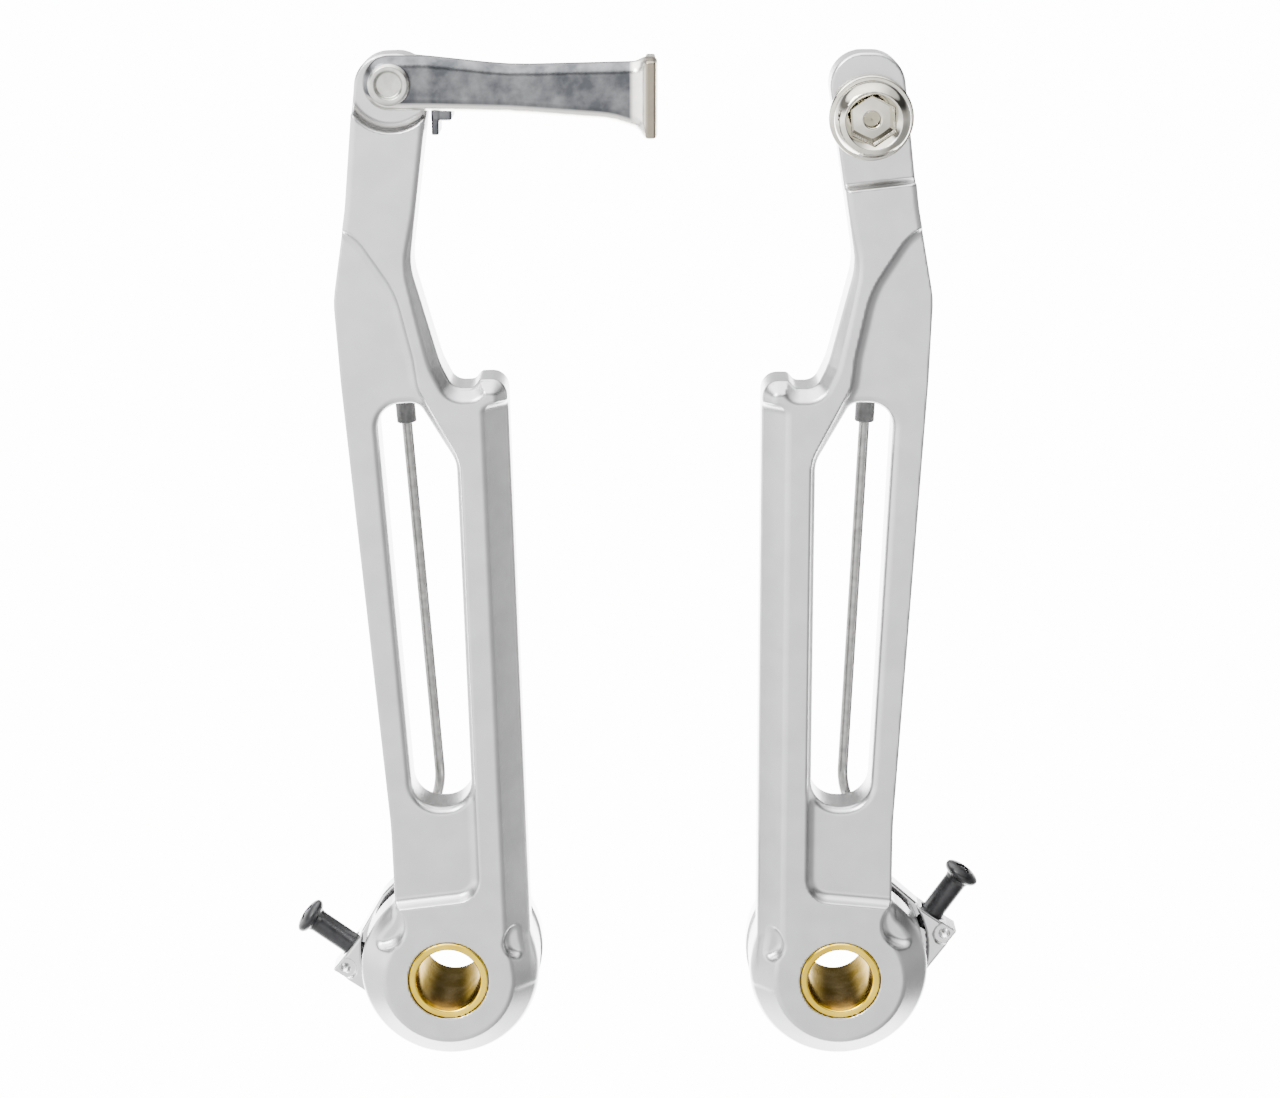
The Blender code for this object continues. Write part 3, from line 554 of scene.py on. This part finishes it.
def slot_outline():
    return arc_points(
        [
            (-3.9, 22.2, 3.4),
            (3.35, 22.2, 3.4),
            (5.5, SLOT_TOP, 3.0),
            (0.3, SLOT_TOP, 1.8),
            (-3.9, SLOT_TOP - 7.4, 4.0),
        ]
    )


# Milled notches beside the boss's face: centre (u, h), radius and depth
NOTCHES = ((8.3, 7.3, 3.2, 2.2), (-9.3, 4.6, 2.2, 1.7))

OUTLINE, POCKET, SLOT = arm_outline(), pocket_outline(), slot_outline()


def arm_field(side):
    def field(u, d, h):
        outline = outline_distance(u, h, OUTLINE)
        radius = np.hypot(u, h)
        blank = both(outline, d - ARM_BACK, 0.35)
        top = ease(h, 68, 73) * (1 - ease(h, 88, 97)) * (1 - ease(u, -1.5, 3.5))
        blank = both(blank, (0.35 + 1.05 * top + outline - d) / sqrt(2), 0.25)
        rib = (RIB_CHAMFER + RIB_U - u - d) / sqrt(2)
        blank = without(blank, both(-rib, h - SLOT_TOP, 1.2), 0.3)
        cone = (radius - BOSS_FACE_R) * BOSS_CONE - d * (BOSS_R - BOSS_FACE_R)
        cone = cone / hypot(BOSS_CONE, BOSS_R - BOSS_FACE_R)
        boss = both(both(radius - BOSS_R, cone, 0.5), d - BOSS_DEPTH, 0.25)
        body = both(either(blank, boss, 0.8), -d, 0.3)
        for notch_u, notch_h, reach, deep in NOTCHES:
            notch = np.hypot(u - notch_u, h - notch_h) - reach
            body = without(body, both(notch, d - deep, 0.9), 0.4)
        pocket = outline_distance(u, h, POCKET)
        body = without(body, both(pocket, d - POCKET_DEPTH, 1.2), 0.25)
        body = without(body, outline_distance(u, h, SLOT), 0.9)
        if side < 0:
            from_pin = np.hypot(u - LINK_PIN[0], h - LINK_PIN[1])
            seat = both(from_pin - LINK_SEAT_R, d - LINK_SEAT, 1.1)
            hole = from_pin - LINK_HOLE_R
        else:
            edge = BOLT_PIN[1] - CABLE_SEAT_DROP + CABLE_SEAT_SLOPE * u - h
            seat = both(edge, d - CABLE_SEAT, 0.6)
            hole = np.hypot(u - BOLT_PIN[0], h - BOLT_PIN[1]) - BOLT_HOLE_R
        body = without(body, seat, 0.35)
        body = without(body, hole, 0.15)
        body = without(body, radius - ARM_BORE, 0.1)
        well = np.maximum(between(radius, STEM_R, WELL_R), WELL_FLOOR - d)
        body = without(body, well, 0.2)
        along = u * cos(WINDOW_ANGLE) + h * sin(WINDOW_ANGLE)
        across = np.abs(h * cos(WINDOW_ANGLE) - u * sin(WINDOW_ANGLE))
        window = np.maximum(across - WINDOW_HALF, between(along, STEM_R + 2.4, BOSS_R + 2))
        window = np.maximum(window, between(d, ARM_BACK + 0.5, BOSS_DEPTH + 1))
        return without(body, window, 0.2)

    return field


def build_arm(side, made):
    name = NAMES[side] + "_arm"
    low, high = (-12.2, -0.6, -12.2), (12.2, 12.3, ARM_HEIGHT + 0.8)
    obj = field_piece(name, arm_field(side), low, high, arm_matrix(side))
    show(obj, name, name, made)


# ---- Pivot pieces --------------------------------------------------------------------------

def along_depth(place):
    """Turned profiles hold (radius, depth); their axis runs back along Y."""
    return place @ Matrix.Rotation(-pi / 2, 4, "X")


BUSH_BACK = 14.9
GROOVE = (13.95, 14.55)
CLIP = (14.05, 14.45)
CLIP_MOUTH = radians(44)


def build_bush(side, made):
    lip = 0.3
    profile = [
        (BUSH_BORE + lip, 0),
        (BUSH_R - 0.15, 0),
        (BUSH_R, 0.15),
        (BUSH_R, GROOVE[0]),
        (BUSH_R - 0.4, GROOVE[0]),
        (BUSH_R - 0.4, GROOVE[1]),
        (BUSH_R, GROOVE[1]),
        (BUSH_R, BUSH_BACK),
        (BUSH_BORE, BUSH_BACK),
    ]
    for k in range(6):
        angle = pi / 2 * k / 5
        profile.append((BUSH_BORE + lip * (1 - cos(angle)), lip * (1 - sin(angle))))
    name = NAMES[side] + "_pivot_bush"
    obj = turned(name, profile[:-1], along_depth(arm_matrix(side)), 128)
    show(obj, NAMES[side] + "_arm", name, made)


RING_R = BOSS_R + 0.25
SCREW_FOOT = (13.25, 0.1)
SCREW_ANGLE = radians(36.0)
SCREW_DEPTH = STACK - 2.3
EAR_FRONT = SCREW_DEPTH - 2.3
EAR_HALF = 2.3
EAR_HOLE = (13.9, -2.6)
EAR_CORNER = (15.5, -2.9)
TAIL_R = 9.25
TAIL_ANGLE = radians(-18.0)
TAIL_END = STACK - 1.9
PIN_ORBIT = 9.45
PIN_ANGLE = radians(130.0)
PIN_AT = (PIN_ORBIT * cos(PIN_ANGLE), PIN_ORBIT * sin(PIN_ANGLE))
PIN_R = 1.4


def carrier_outline():
    along = Vector((cos(SCREW_ANGLE), sin(SCREW_ANGLE)))
    across = Vector((-along.y, along.x))
    foot = Vector(SCREW_FOOT)
    low = foot - across * EAR_HALF
    high = foot + across * EAR_HALF
    start, end = radians(38), radians(360 - 42)
    angles = [start + (end - start) * k / 90 for k in range(91)]
    ring = [(RING_R * cos(a), RING_R * sin(a)) for a in angles]
    return np.array(ring + [EAR_CORNER, tuple(low), tuple(high)])


CARRIER = carrier_outline()


def carrier_field(u, d, h):
    radius = np.hypot(u, h)
    body = both(outline_distance(u, h, CARRIER), between(d, EAR_FRONT, STACK), 0.4)
    room = np.maximum(radius - (BOSS_R + 0.6), d - (BOSS_DEPTH + 0.3))
    body = without(body, room, 0.3)
    body = without(body, radius - (BUSH_R + 0.3), 0.2)
    body = without(body, np.maximum(radius - 6.85, d - 12.6), 0.1)
    body = without(body, np.maximum(radius - 7.15, STACK - 1.35 - d), 0.1)
    from_hole = np.hypot(u - EAR_HOLE[0], h - EAR_HOLE[1])
    body = without(body, from_hole - 0.6, 0.12)
    body = without(body, both(from_hole - 1.45, d - (EAR_FRONT + 0.5), 0.2), 0.15)
    pin = np.maximum(np.hypot(u - PIN_AT[0], h - PIN_AT[1]) - 1.6, BOSS_DEPTH + 0.9 - d)
    body = without(body, pin, 0.05)
    angle = np.arctan2(h, u)
    tail = np.maximum(np.abs(radius - TAIL_R) - 0.95, d - TAIL_END - 0.3)
    sector = np.maximum(angle - radians(-8), radians(-49) - angle) * TAIL_R
    body = without(body, np.maximum(tail, sector), 0.1)
    along = (u - SCREW_FOOT[0]) * cos(SCREW_ANGLE) + (h - SCREW_FOOT[1]) * sin(SCREW_ANGLE)
    across = (h - SCREW_FOOT[1]) * cos(SCREW_ANGLE) - (u - SCREW_FOOT[0]) * sin(SCREW_ANGLE)
    bore = np.maximum(np.hypot(across, d - SCREW_DEPTH) - 1.65, -2.2 - along)
    return without(body, bore, 0.1)


def build_carrier(side, made):
    name = NAMES[side] + "_spring_carrier"
    low, high = (-12.2, 10.2, -12.2), (17.0, 15.6, 12.2)
    obj = field_piece(name, carrier_field, low, high, carrier_matrix(side), 0.2, 0.35)
    show(obj, "frame_side", name, made)


def build_pin(side, made):
    front, back = BOSS_DEPTH + 1.2, STACK + 4.0
    profile = [(0, front), (PIN_R, front), (PIN_R, back - 0.4), (1.0, back), (0, back)]
    place = carrier_matrix(side) @ Matrix.Translation((PIN_AT[0], 0, PIN_AT[1]))
    name = NAMES[side] + "_spring_pin"
    obj = turned(name, softened(profile, 0.15), along_depth(place), 32)
    show(obj, "frame_side", name, made)


def build_rings(side, made):
    inner, outer = BUSH_R + 0.2, BUSH_R + 0.2 + 1.5
    front, back = BOSS_DEPTH + 0.3, BOSS_DEPTH + 0.3 + 0.5
    washer = [(inner, front), (outer, front), (outer, back), (inner, back)]
    name = NAMES[side] + "_thrust_washer"
    obj = turned(name, softened(washer, 0.1), along_depth(carrier_matrix(side)), 72)
    show(obj, "frame_side", name, made)
    inner, outer = 4.75, 6.75
    clip = [(inner, CLIP[0]), (outer, CLIP[0]), (outer, CLIP[1]), (inner, CLIP[1])]
    turn = Matrix.Rotation(-(pi / 2 + CLIP_MOUTH / 2 + 2 * pi - CLIP_MOUTH), 4, "Y")
    place = along_depth(arm_matrix(side) @ turn)
    name = NAMES[side] + "_retaining_ring"
    obj = turned(name, softened(clip, 0.08), place, 72, 2 * pi - CLIP_MOUTH)
    show(obj, NAMES[side] + "_arm", name, made)


def screw_matrix(side):
    """Local Z runs outward along the tension screw."""
    along = Vector((cos(SCREW_ANGLE), 0, sin(SCREW_ANGLE)))
    foot = Matrix.Translation((SCREW_FOOT[0], SCREW_DEPTH, SCREW_FOOT[1]))
    return carrier_matrix(side) @ foot @ along.to_track_quat("Z", "Y").to_matrix().to_4x4()


SCREW_R = 1.45
SCREW_SHOWN = 5.7
SCREW_HEAD_R = 2.35


def screw_profile():
    top = SCREW_SHOWN
    dome = []
    for k in range(9):
        angle = pi / 2 * k / 8
        dome.append((SCREW_HEAD_R * sin(angle), top + 0.75 + 0.85 * cos(angle)))
    under = [(2.3, top + 0.45), (2.05, top + 0.15), (1.6, top - 0.1), (SCREW_R, top - 0.6)]
    foot = [(SCREW_R, -1.9), (0.8, -1.9), (0.8, -2.4), (0, -2.4)]
    return np.array(dome + under + foot)


SCREW = screw_profile()


def screw_field(x, y, z):
    body = outline_distance(np.hypot(x, y), z, SCREW)
    turn, reach, half = radians(20), 1.35, 0.28
    a = np.abs(x * cos(turn) + y * sin(turn))
    b = np.abs(y * cos(turn) - x * sin(turn))
    cross = either(both(a - reach, b - half), both(a - half, b - reach))
    return without(body, np.maximum(cross, 6.5 - z), 0.08)


def build_screw(side, made):
    name = NAMES[side] + "_tension_screw"
    low, high = (-2.7, -2.7, -3.3), (2.7, 2.7, 7.7)
    obj = field_piece(name, screw_field, low, high, screw_matrix(side), 0.12, 0.4)
    show(obj, name, name, made)


# ---- Spring, sleeve and peg ------------------------------------------------------------------

WIRE_R = 0.65
COIL_R = STEM_R + 0.3 + WIRE_R
COIL_BACK = BOSS_DEPTH - 1.9
COIL_PITCH = 1.7
LEG_DEPTH = ARM_BACK + WIRE_R + 0.65
LEG_BEND = (0.4, 23.4)
LEG_TOP = (2.95, RIB_TOP + 5.5)
SLEEVE_R = 1.2
SLEEVE_FOOT = RIB_TOP - 6.5
PEG_H = RIB_TOP + 2.0
PEG_R = 1.25
PEG_HEAD_R = 1.75


def leg_u(h):
    share = (h - LEG_BEND[1]) / (LEG_TOP[1] - LEG_BEND[1])
    return LEG_BEND[0] + (LEG_TOP[0] - LEG_BEND[0]) * share


def spring_route(side):
    wind = TURN[side] + LEAN[side]
    bend_u, bend_h = LEG_BEND
    foot = atan2(bend_h, bend_u) - acos(COIL_R / hypot(bend_u, bend_h))
    end = TAIL_ANGLE + wind - 4 * pi
    steps = 150
    coil = []
    for k in range(steps + 1):
        angle = end + (foot - end) * k / steps
        share = max(0.0, 1 - (angle - end) / radians(70))
        wide = share * share * (3 - 2 * share)
        radius = COIL_R + (TAIL_R - COIL_R) * wide
        depth = COIL_BACK - COIL_PITCH * (foot - angle) / (2 * pi)
        coil.append(Vector((radius * cos(angle), depth, radius * sin(angle))))
    tail = [Vector((coil[0].x, y, coil[0].z)) for y in (TAIL_END, 11.5, coil[0].y + 0.8)]
    tail.append((coil[0] + coil[2]) / 2 + Vector((0, 0.1, 0)))
    bend = Vector((bend_u, LEG_DEPTH, bend_h))
    top = Vector((LEG_TOP[0], LEG_DEPTH, LEG_TOP[1]))
    start = coil[-1]
    down, up = (start - bend).normalized(), (top - bend).normalized()
    corner = []
    for k in range(9):
        share = k / 8
        a = bend + down * 1.6 * (1 - share)
        b = bend + up * 1.6 * share
        corner.append(a + (b - a) * share)
    leg = [bend + (top - bend) * share for share in (0.1, 0.3, 0.5, 0.7, 0.9, 1.0)]
    return tail + coil[2:] + [start + (bend - start) * 0.5] + corner + leg


def tube(name, route, radius, place, sides=16):
    """Round wire along a route, with flat ends."""
    points, faces = [], []
    ahead = (route[1] - route[0]).normalized()
    across = ahead.orthogonal().normalized()
    for i, here in enumerate(route):
        back = route[max(i - 1, 0)]
        on = route[min(i + 1, len(route) - 1)]
        turned_ahead = (on - back).normalized()
        across = (across - turned_ahead * across.dot(turned_ahead)).normalized()
        other = turned_ahead.cross(across)
        for k in range(sides):
            angle = 2 * pi * k / sides
            points.append(here + (across * cos(angle) + other * sin(angle)) * radius)
    for i in range(len(route) - 1):
        for k in range(sides):
            n = (k + 1) % sides
            faces.append((i * sides + k, i * sides + n, (i + 1) * sides + n, (i + 1) * sides + k))
    faces.append(tuple(reversed(range(sides))))
    faces.append(tuple((len(route) - 1) * sides + k for k in range(sides)))
    mesh = bpy.data.meshes.new(name)
    mesh.from_pydata([tuple(p) for p in points], [], faces)
    if place.determinant() < 0:
        mesh.flip_normals()
    mesh.transform(place)
    mesh.shade_smooth()
    mesh.set_sharp_from_angle(angle=radians(50))
    obj = bpy.data.objects.new("fine_" + name, mesh)
    bpy.context.scene.collection.objects.link(obj)
    return obj


def build_spring(side, wire, sleeve, steel):
    arm = NAMES[side] + "_arm"
    name = NAMES[side] + "_return_spring"
    obj = tube(name, spring_route(side), WIRE_R, arm_matrix(side))
    show(obj, arm, name, wire)
    foot = Vector((leg_u(SLEEVE_FOOT), LEG_DEPTH, SLEEVE_FOOT))
    top = Vector((leg_u(LEG_TOP[1]), LEG_DEPTH, LEG_TOP[1]))
    length = (top - foot).length + 1.6
    inner = WIRE_R + 0.08
    profile = [(inner, 0), (SLEEVE_R, 0), (SLEEVE_R, length), (inner, length)]
    turn = (top - foot).to_track_quat("Z", "Y").to_matrix().to_4x4()
    name = NAMES[side] + "_spring_sleeve"
    place = arm_matrix(side) @ Matrix.Translation(foot) @ turn
    obj = turned(name, softened(profile, 0.2), place, 40)
    show(obj, arm, name, sleeve)
    front = ARM_BACK - 2.6
    back = front + 5.6
    shank = [(0, front), (PEG_R, front), (PEG_R, back - 0.6)]
    peg = shank + [(PEG_HEAD_R, back - 0.6), (PEG_HEAD_R, back), (0, back)]
    peg_u = leg_u(PEG_H) + SLEEVE_R + 0.3 + PEG_R
    place = arm_matrix(side) @ Matrix.Translation((peg_u, 0, PEG_H))
    name = NAMES[side] + "_spring_peg"
    obj = turned(name, softened(peg, 0.15), along_depth(place), 36)
    show(obj, arm, name, steel)


# ---- Link and rivet ----------------------------------------------------------------------------

LINK_REACH = 31.1
LINK_FRONT = -0.3
LINK_BACK = ARM_BACK + 1.5
SHEET = 1.2
STOP_DROP = 6.3


def bar_outline(drop, lowered):
    reach = LINK_REACH - SHEET / 2
    top, low = 2.2 - lowered, -3.4
    return arc_points(
        [
            (-3.2, 3.2, 3.14),
            (4.5, 3.2 - lowered / 2, 6),
            (14, top, 40),
            (reach, top + 0.4, 0),
            (reach, low - drop, 0),
            (26, low - drop * 0.35, 12),
            (14, low, 40),
            (5, -3.2, 6),
            (-3.2, -3.2, 3.14),
        ]
    )


FRONT_BAR, BACK_PLATE = bar_outline(2.4, 0), bar_outline(0.6, 1.5)


def link_field(p, d, q):
    bar = outline_distance(p, q, FRONT_BAR)
    reach = LINK_REACH
    body = both(both(bar, LINK_FRONT - d, 1.5), d - 2.0, 0.4)
    rear = both(outline_distance(p, q, BACK_PLATE), between(d, LINK_BACK - SHEET, LINK_BACK), 0.3)
    wall = block(p, d, q, (reach - SHEET, reach), (-1.2, LINK_BACK), (-STOP_DROP, 2.7), 0.3)
    body = either(either(body, wall, 1.6), rear, 0.4)
    tab_p = LINK_PIN[0] + 2.9
    inside = LINK_BACK - SHEET / 2
    tab = block(p, d, q, (tab_p, tab_p + 0.85), (2.7, inside), (-STOP_DROP, -2.2), 0.2)
    foot = block(p, d, q, (tab_p, tab_p + 2.4), (2.7, inside), (-4.6, -2.1), 0.3)
    body = either(body, either(tab, foot, 0.2), 0.2)
    body = without(body, np.hypot(p, q) - 2.1, 0.1)
    middle = (LINK_FRONT + 2.3 + LINK_BACK - SHEET) / 2
    key = np.maximum(np.hypot(d - middle, q + 1.4) - 3.0, np.abs(p - reach + 0.6) - 4)
    slit = np.maximum(np.abs(d - middle) - 0.9, np.maximum(-q, reach - 2.4 - p))
    return without(without(body, key, 0.2), slit, 0.15)


def build_link(made, steel):
    place = Matrix.Translation((LINK_AXIS.x, FRONT_Y, LINK_AXIS.z)) @ Matrix.Scale(MM, 4)
    low, high = (-3.6, -2.0, -6.8), (31.6, 10.0, 3.8)
    obj = field_piece("noodle_link", link_field, low, high, place, 0.16, 0.3)
    show(obj, "noodle_link", "noodle_link", made)
    front, back = LINK_FRONT - 0.3, LINK_BACK + 0.3
    profile = [
        (0, front - 0.4),
        (1.45, front - 0.4),
        (1.7, front - 0.8),
        (2.15, front - 0.8),
        (2.45, front - 0.5),
        (2.45, front),
        (1.9, front),
        (1.9, back),
        (2.45, back),
        (2.0, back + 0.8),
        (0, back + 0.8),
    ]
    obj = turned("link_rivet", softened(profile, 0.2), along_depth(place), 72)
    show(obj, "left_arm", "link_rivet", steel)


# ---- Cable clamp -------------------------------------------------------------------------------

BOLT_HEAD_R = 4.5
BOLT_SHANK_R = 2.5
BOLT_SEAT = CABLE_SEAT - 0.6 - 1.2
BOLT_TOP = BOLT_SEAT - 3.4
SOCKET_HALF = 2.5
WASHER_HOLE_R = 2.7
WASHER_R = 5.0
WASHER_THICK = 1.2


def bolt_profile():
    flat, wide, tall = 2.95, 1.55, 2.1
    points = [(0, BOLT_TOP), (flat, BOLT_TOP)]
    for k in range(1, 13):
        angle = pi / 2 * k / 12
        points.append((flat + wide * sin(angle), BOLT_TOP + tall * (1 - cos(angle))))
    points += [(BOLT_HEAD_R, BOLT_SEAT - 0.25), (BOLT_HEAD_R - 0.25, BOLT_SEAT)]
    points += [(BOLT_SHANK_R, BOLT_SEAT), (BOLT_SHANK_R, ARM_BACK + 0.6)]
    return np.array(points + [(2.1, ARM_BACK + 1.0), (0, ARM_BACK + 1.0)])


BOLT = bolt_profile()


def bolt_field(x, d, z):
    body = outline_distance(np.hypot(x, z), d, BOLT)
    sides = []
    for k in range(3):
        angle = radians(60 * k + 4)
        sides.append(np.abs(x * cos(angle) + z * sin(angle)) - SOCKET_HALF)
    socket = np.maximum(np.maximum(sides[0], sides[1]), sides[2])
    floor = d - (BOLT_TOP + 2.2) - 0.12 * np.hypot(x, z)
    body = without(body, (np.hypot(x, z) - 3.4 + d - BOLT_TOP) / sqrt(2), 0.1)
    return without(body, np.maximum(socket, floor), 0.12)


def build_clamp(made):
    place = Matrix.Translation((BOLT_AXIS.x, FRONT_Y, BOLT_AXIS.z)) @ Matrix.Scale(MM, 4)
    low, high = (-4.7, BOLT_TOP - 0.4, -4.7), (4.7, 9.4, 4.7)
    obj = field_piece("cable_bolt", bolt_field, low, high, place, 0.12, 0.35)
    show(obj, "cable_clamp", "cable_bolt", made)
    back = CABLE_SEAT - 0.3
    front = back - WASHER_THICK
    inner, outer = WASHER_HOLE_R, WASHER_R
    profile = [(inner, front), (outer, front), (outer, back), (inner, back)]
    obj = turned("cable_washer", softened(profile, 0.25), along_depth(place), 96)
    show(obj, "cable_clamp", "cable_washer", made)


# ---- Stage -------------------------------------------------------------------------------

LENS = 90.0
SENSOR = 36.0
PITCH = radians(14.0)
DISTANCE = 386.5 * MM
AIM = (-0.55 * MM, FRONT_Y, 55.65 * MM)


def add_camera():
    data = bpy.data.cameras.new("camera")
    data.lens = LENS
    data.sensor_width = SENSOR
    camera = bpy.data.objects.new("camera", data)
    bpy.context.scene.collection.objects.link(camera)
    camera.location = Vector(AIM) + Vector((0, -cos(PITCH), sin(PITCH))) * DISTANCE
    camera.rotation_euler = (pi / 2 - PITCH, 0, 0)
    bpy.context.scene.camera = camera


def add_area(name, place, target, size, power):
    data = bpy.data.lights.new(name, "AREA")
    data.shape = "RECTANGLE"
    data.size, data.size_y = size
    data.energy = power
    lamp = bpy.data.objects.new(name, data)
    lamp.location = place
    lamp.rotation_euler = (Vector(target) - Vector(place)).to_track_quat("-Z", "Y").to_euler()
    bpy.context.scene.collection.objects.link(lamp)


# Brightness of the studio by height, from straight down at 0 to straight up at 1
LIGHT_BANDS = (
    (0.22, 0.3),
    (0.31, 0.3),
    (0.38, 0.33),
    (0.47, 0.52),
    (0.56, 0.4),
    (0.63, 0.1),
    (0.67, 0.04),
    (0.76, 0.05),
    (0.82, 0.7),
)

# Brightness of the studio from left at 0 to right at 1
LIGHT_SIDES = ((0.0, 0.9), (0.45, 0.68), (0.6, 0.56), (0.78, 0.22), (1.0, 0.16))
LIGHT_STRENGTH = 10.0


def add_world():
    """Soft studio: bright above, grey ahead, darker below, and brighter on the left."""
    world = bpy.data.worlds.new("studio")
    world.use_nodes = True
    place = node(world, "ShaderNodeTexCoord")
    split = node(world, "ShaderNodeSeparateXYZ")
    link(world, place, "Generated", split, "Vector")
    shades = []
    for axis, bands in (("Z", ((0.0, 0.28), *LIGHT_BANDS, (1.0, 1.0))), ("X", LIGHT_SIDES)):
        spread = rise(world, split, axis, -1.0, 1.0)
        shade = node(world, "ShaderNodeValToRGB")
        stops = shade.color_ramp.elements
        for stop, (position, value) in zip((stops[0], stops[1]), (bands[0], bands[-1])):
            stop.position = position
            stop.color = (value, value, value, 1)
        for position, value in bands[1:-1]:
            stops.new(position).color = (value, value, value, 1)
        link(world, spread, "Result", shade, "Fac")
        shades.append(shade)
    strength = node(world, "ShaderNodeMath", operation="MULTIPLY")
    strength.inputs[1].default_value = LIGHT_STRENGTH
    link(world, shades[1], "Color", strength, 0)
    background = world.node_tree.nodes["Background"]
    link(world, shades[0], "Color", background, "Color")
    link(world, strength, "Value", background, "Strength")
    bpy.context.scene.world = world


FLOOR_LEVEL = -0.25
FLOOR_GLOW = 12.0
FLOOR_NEAR, FLOOR_NEAR_HALF = 0.05, 0.3
FLOOR_FAR, FLOOR_FAR_HALF = 60.0, 24.0


def add_floor():
    """White floor behind the part that glows, and fades out at its sides and its near edge."""
    mesh = bpy.data.meshes.new("floor")
    corners = [
        (-FLOOR_NEAR_HALF, FLOOR_NEAR, FLOOR_LEVEL),
        (FLOOR_NEAR_HALF, FLOOR_NEAR, FLOOR_LEVEL),
        (FLOOR_FAR_HALF, FLOOR_FAR, FLOOR_LEVEL),
        (-FLOOR_FAR_HALF, FLOOR_FAR, FLOOR_LEVEL),
    ]
    mesh.from_pydata(corners, [], [(0, 1, 2, 3)])
    made = material("floor", (0.9, 0.9, 0.9), 0.8, 0.0)
    shader = made.node_tree.nodes["Principled BSDF"]
    shader.inputs["Emission Color"].default_value = (1, 1, 1, 1)
    shader.inputs["Emission Strength"].default_value = FLOOR_GLOW
    place = node(made, "ShaderNodeTexCoord")
    split = node(made, "ShaderNodeSeparateXYZ")
    link(made, place, "Object", split, "Vector")
    front = rise(made, split, "Y", FLOOR_NEAR, 0.2)
    # The opacity is (edge - distance from the middle) / width, times the rise at the front,
    # where edge and width grow with the distance from the camera
    steps = []
    for kind, first, second in (
        ("ABSOLUTE", 0, 0),
        ("MULTIPLY_ADD", 0.395, 0.28),
        ("SUBTRACT", 0, 0),
        ("MULTIPLY_ADD", 0.1, 0.12),
        ("DIVIDE", 0, 0),
        ("MULTIPLY", 0, 0),
    ):
        step = node(made, "ShaderNodeMath", operation=kind, use_clamp=kind == "DIVIDE")
        step.inputs[1].default_value = first
        step.inputs[2].default_value = second
        steps.append(step)
    from_middle, edge, gap, width, side, mask = steps
    link(made, split, "X", from_middle, 0)
    link(made, split, "Y", edge, 0)
    link(made, edge, "Value", gap, 0)
    link(made, from_middle, "Value", gap, 1)
    link(made, split, "Y", width, 0)
    link(made, gap, "Value", side, 0)
    link(made, width, "Value", side, 1)
    link(made, side, "Value", mask, 0)
    link(made, front, "Result", mask, 1)
    link(made, mask, "Value", shader, "Alpha")
    mesh.materials.append(made)
    floor = bpy.data.objects.new("floor", mesh)
    bpy.context.scene.collection.objects.link(floor)


SATIN, BRASS, ALLOY, STEEL = aluminium(), brass(), alloy(), spring_steel()
BLACK, NICKEL, CHROME, NYLON = black_steel(), nickel(), chrome(), nylon()
PALE = rivet_steel()

for side in (-1, 1):
    build_arm(side, SATIN)
    build_bush(side, BRASS)
    build_carrier(side, ALLOY)
    build_pin(side, STEEL)
    build_rings(side, STEEL)
    build_screw(side, BLACK)
    build_spring(side, STEEL, NYLON, STEEL)
build_link(NICKEL, PALE)
build_clamp(CHROME)

add_camera()
add_world()
add_floor()
add_area("key", place=(-0.35, -0.45, 0.5), target=(0, 0, 0.05), size=(0.3, 0.3), power=6.0)
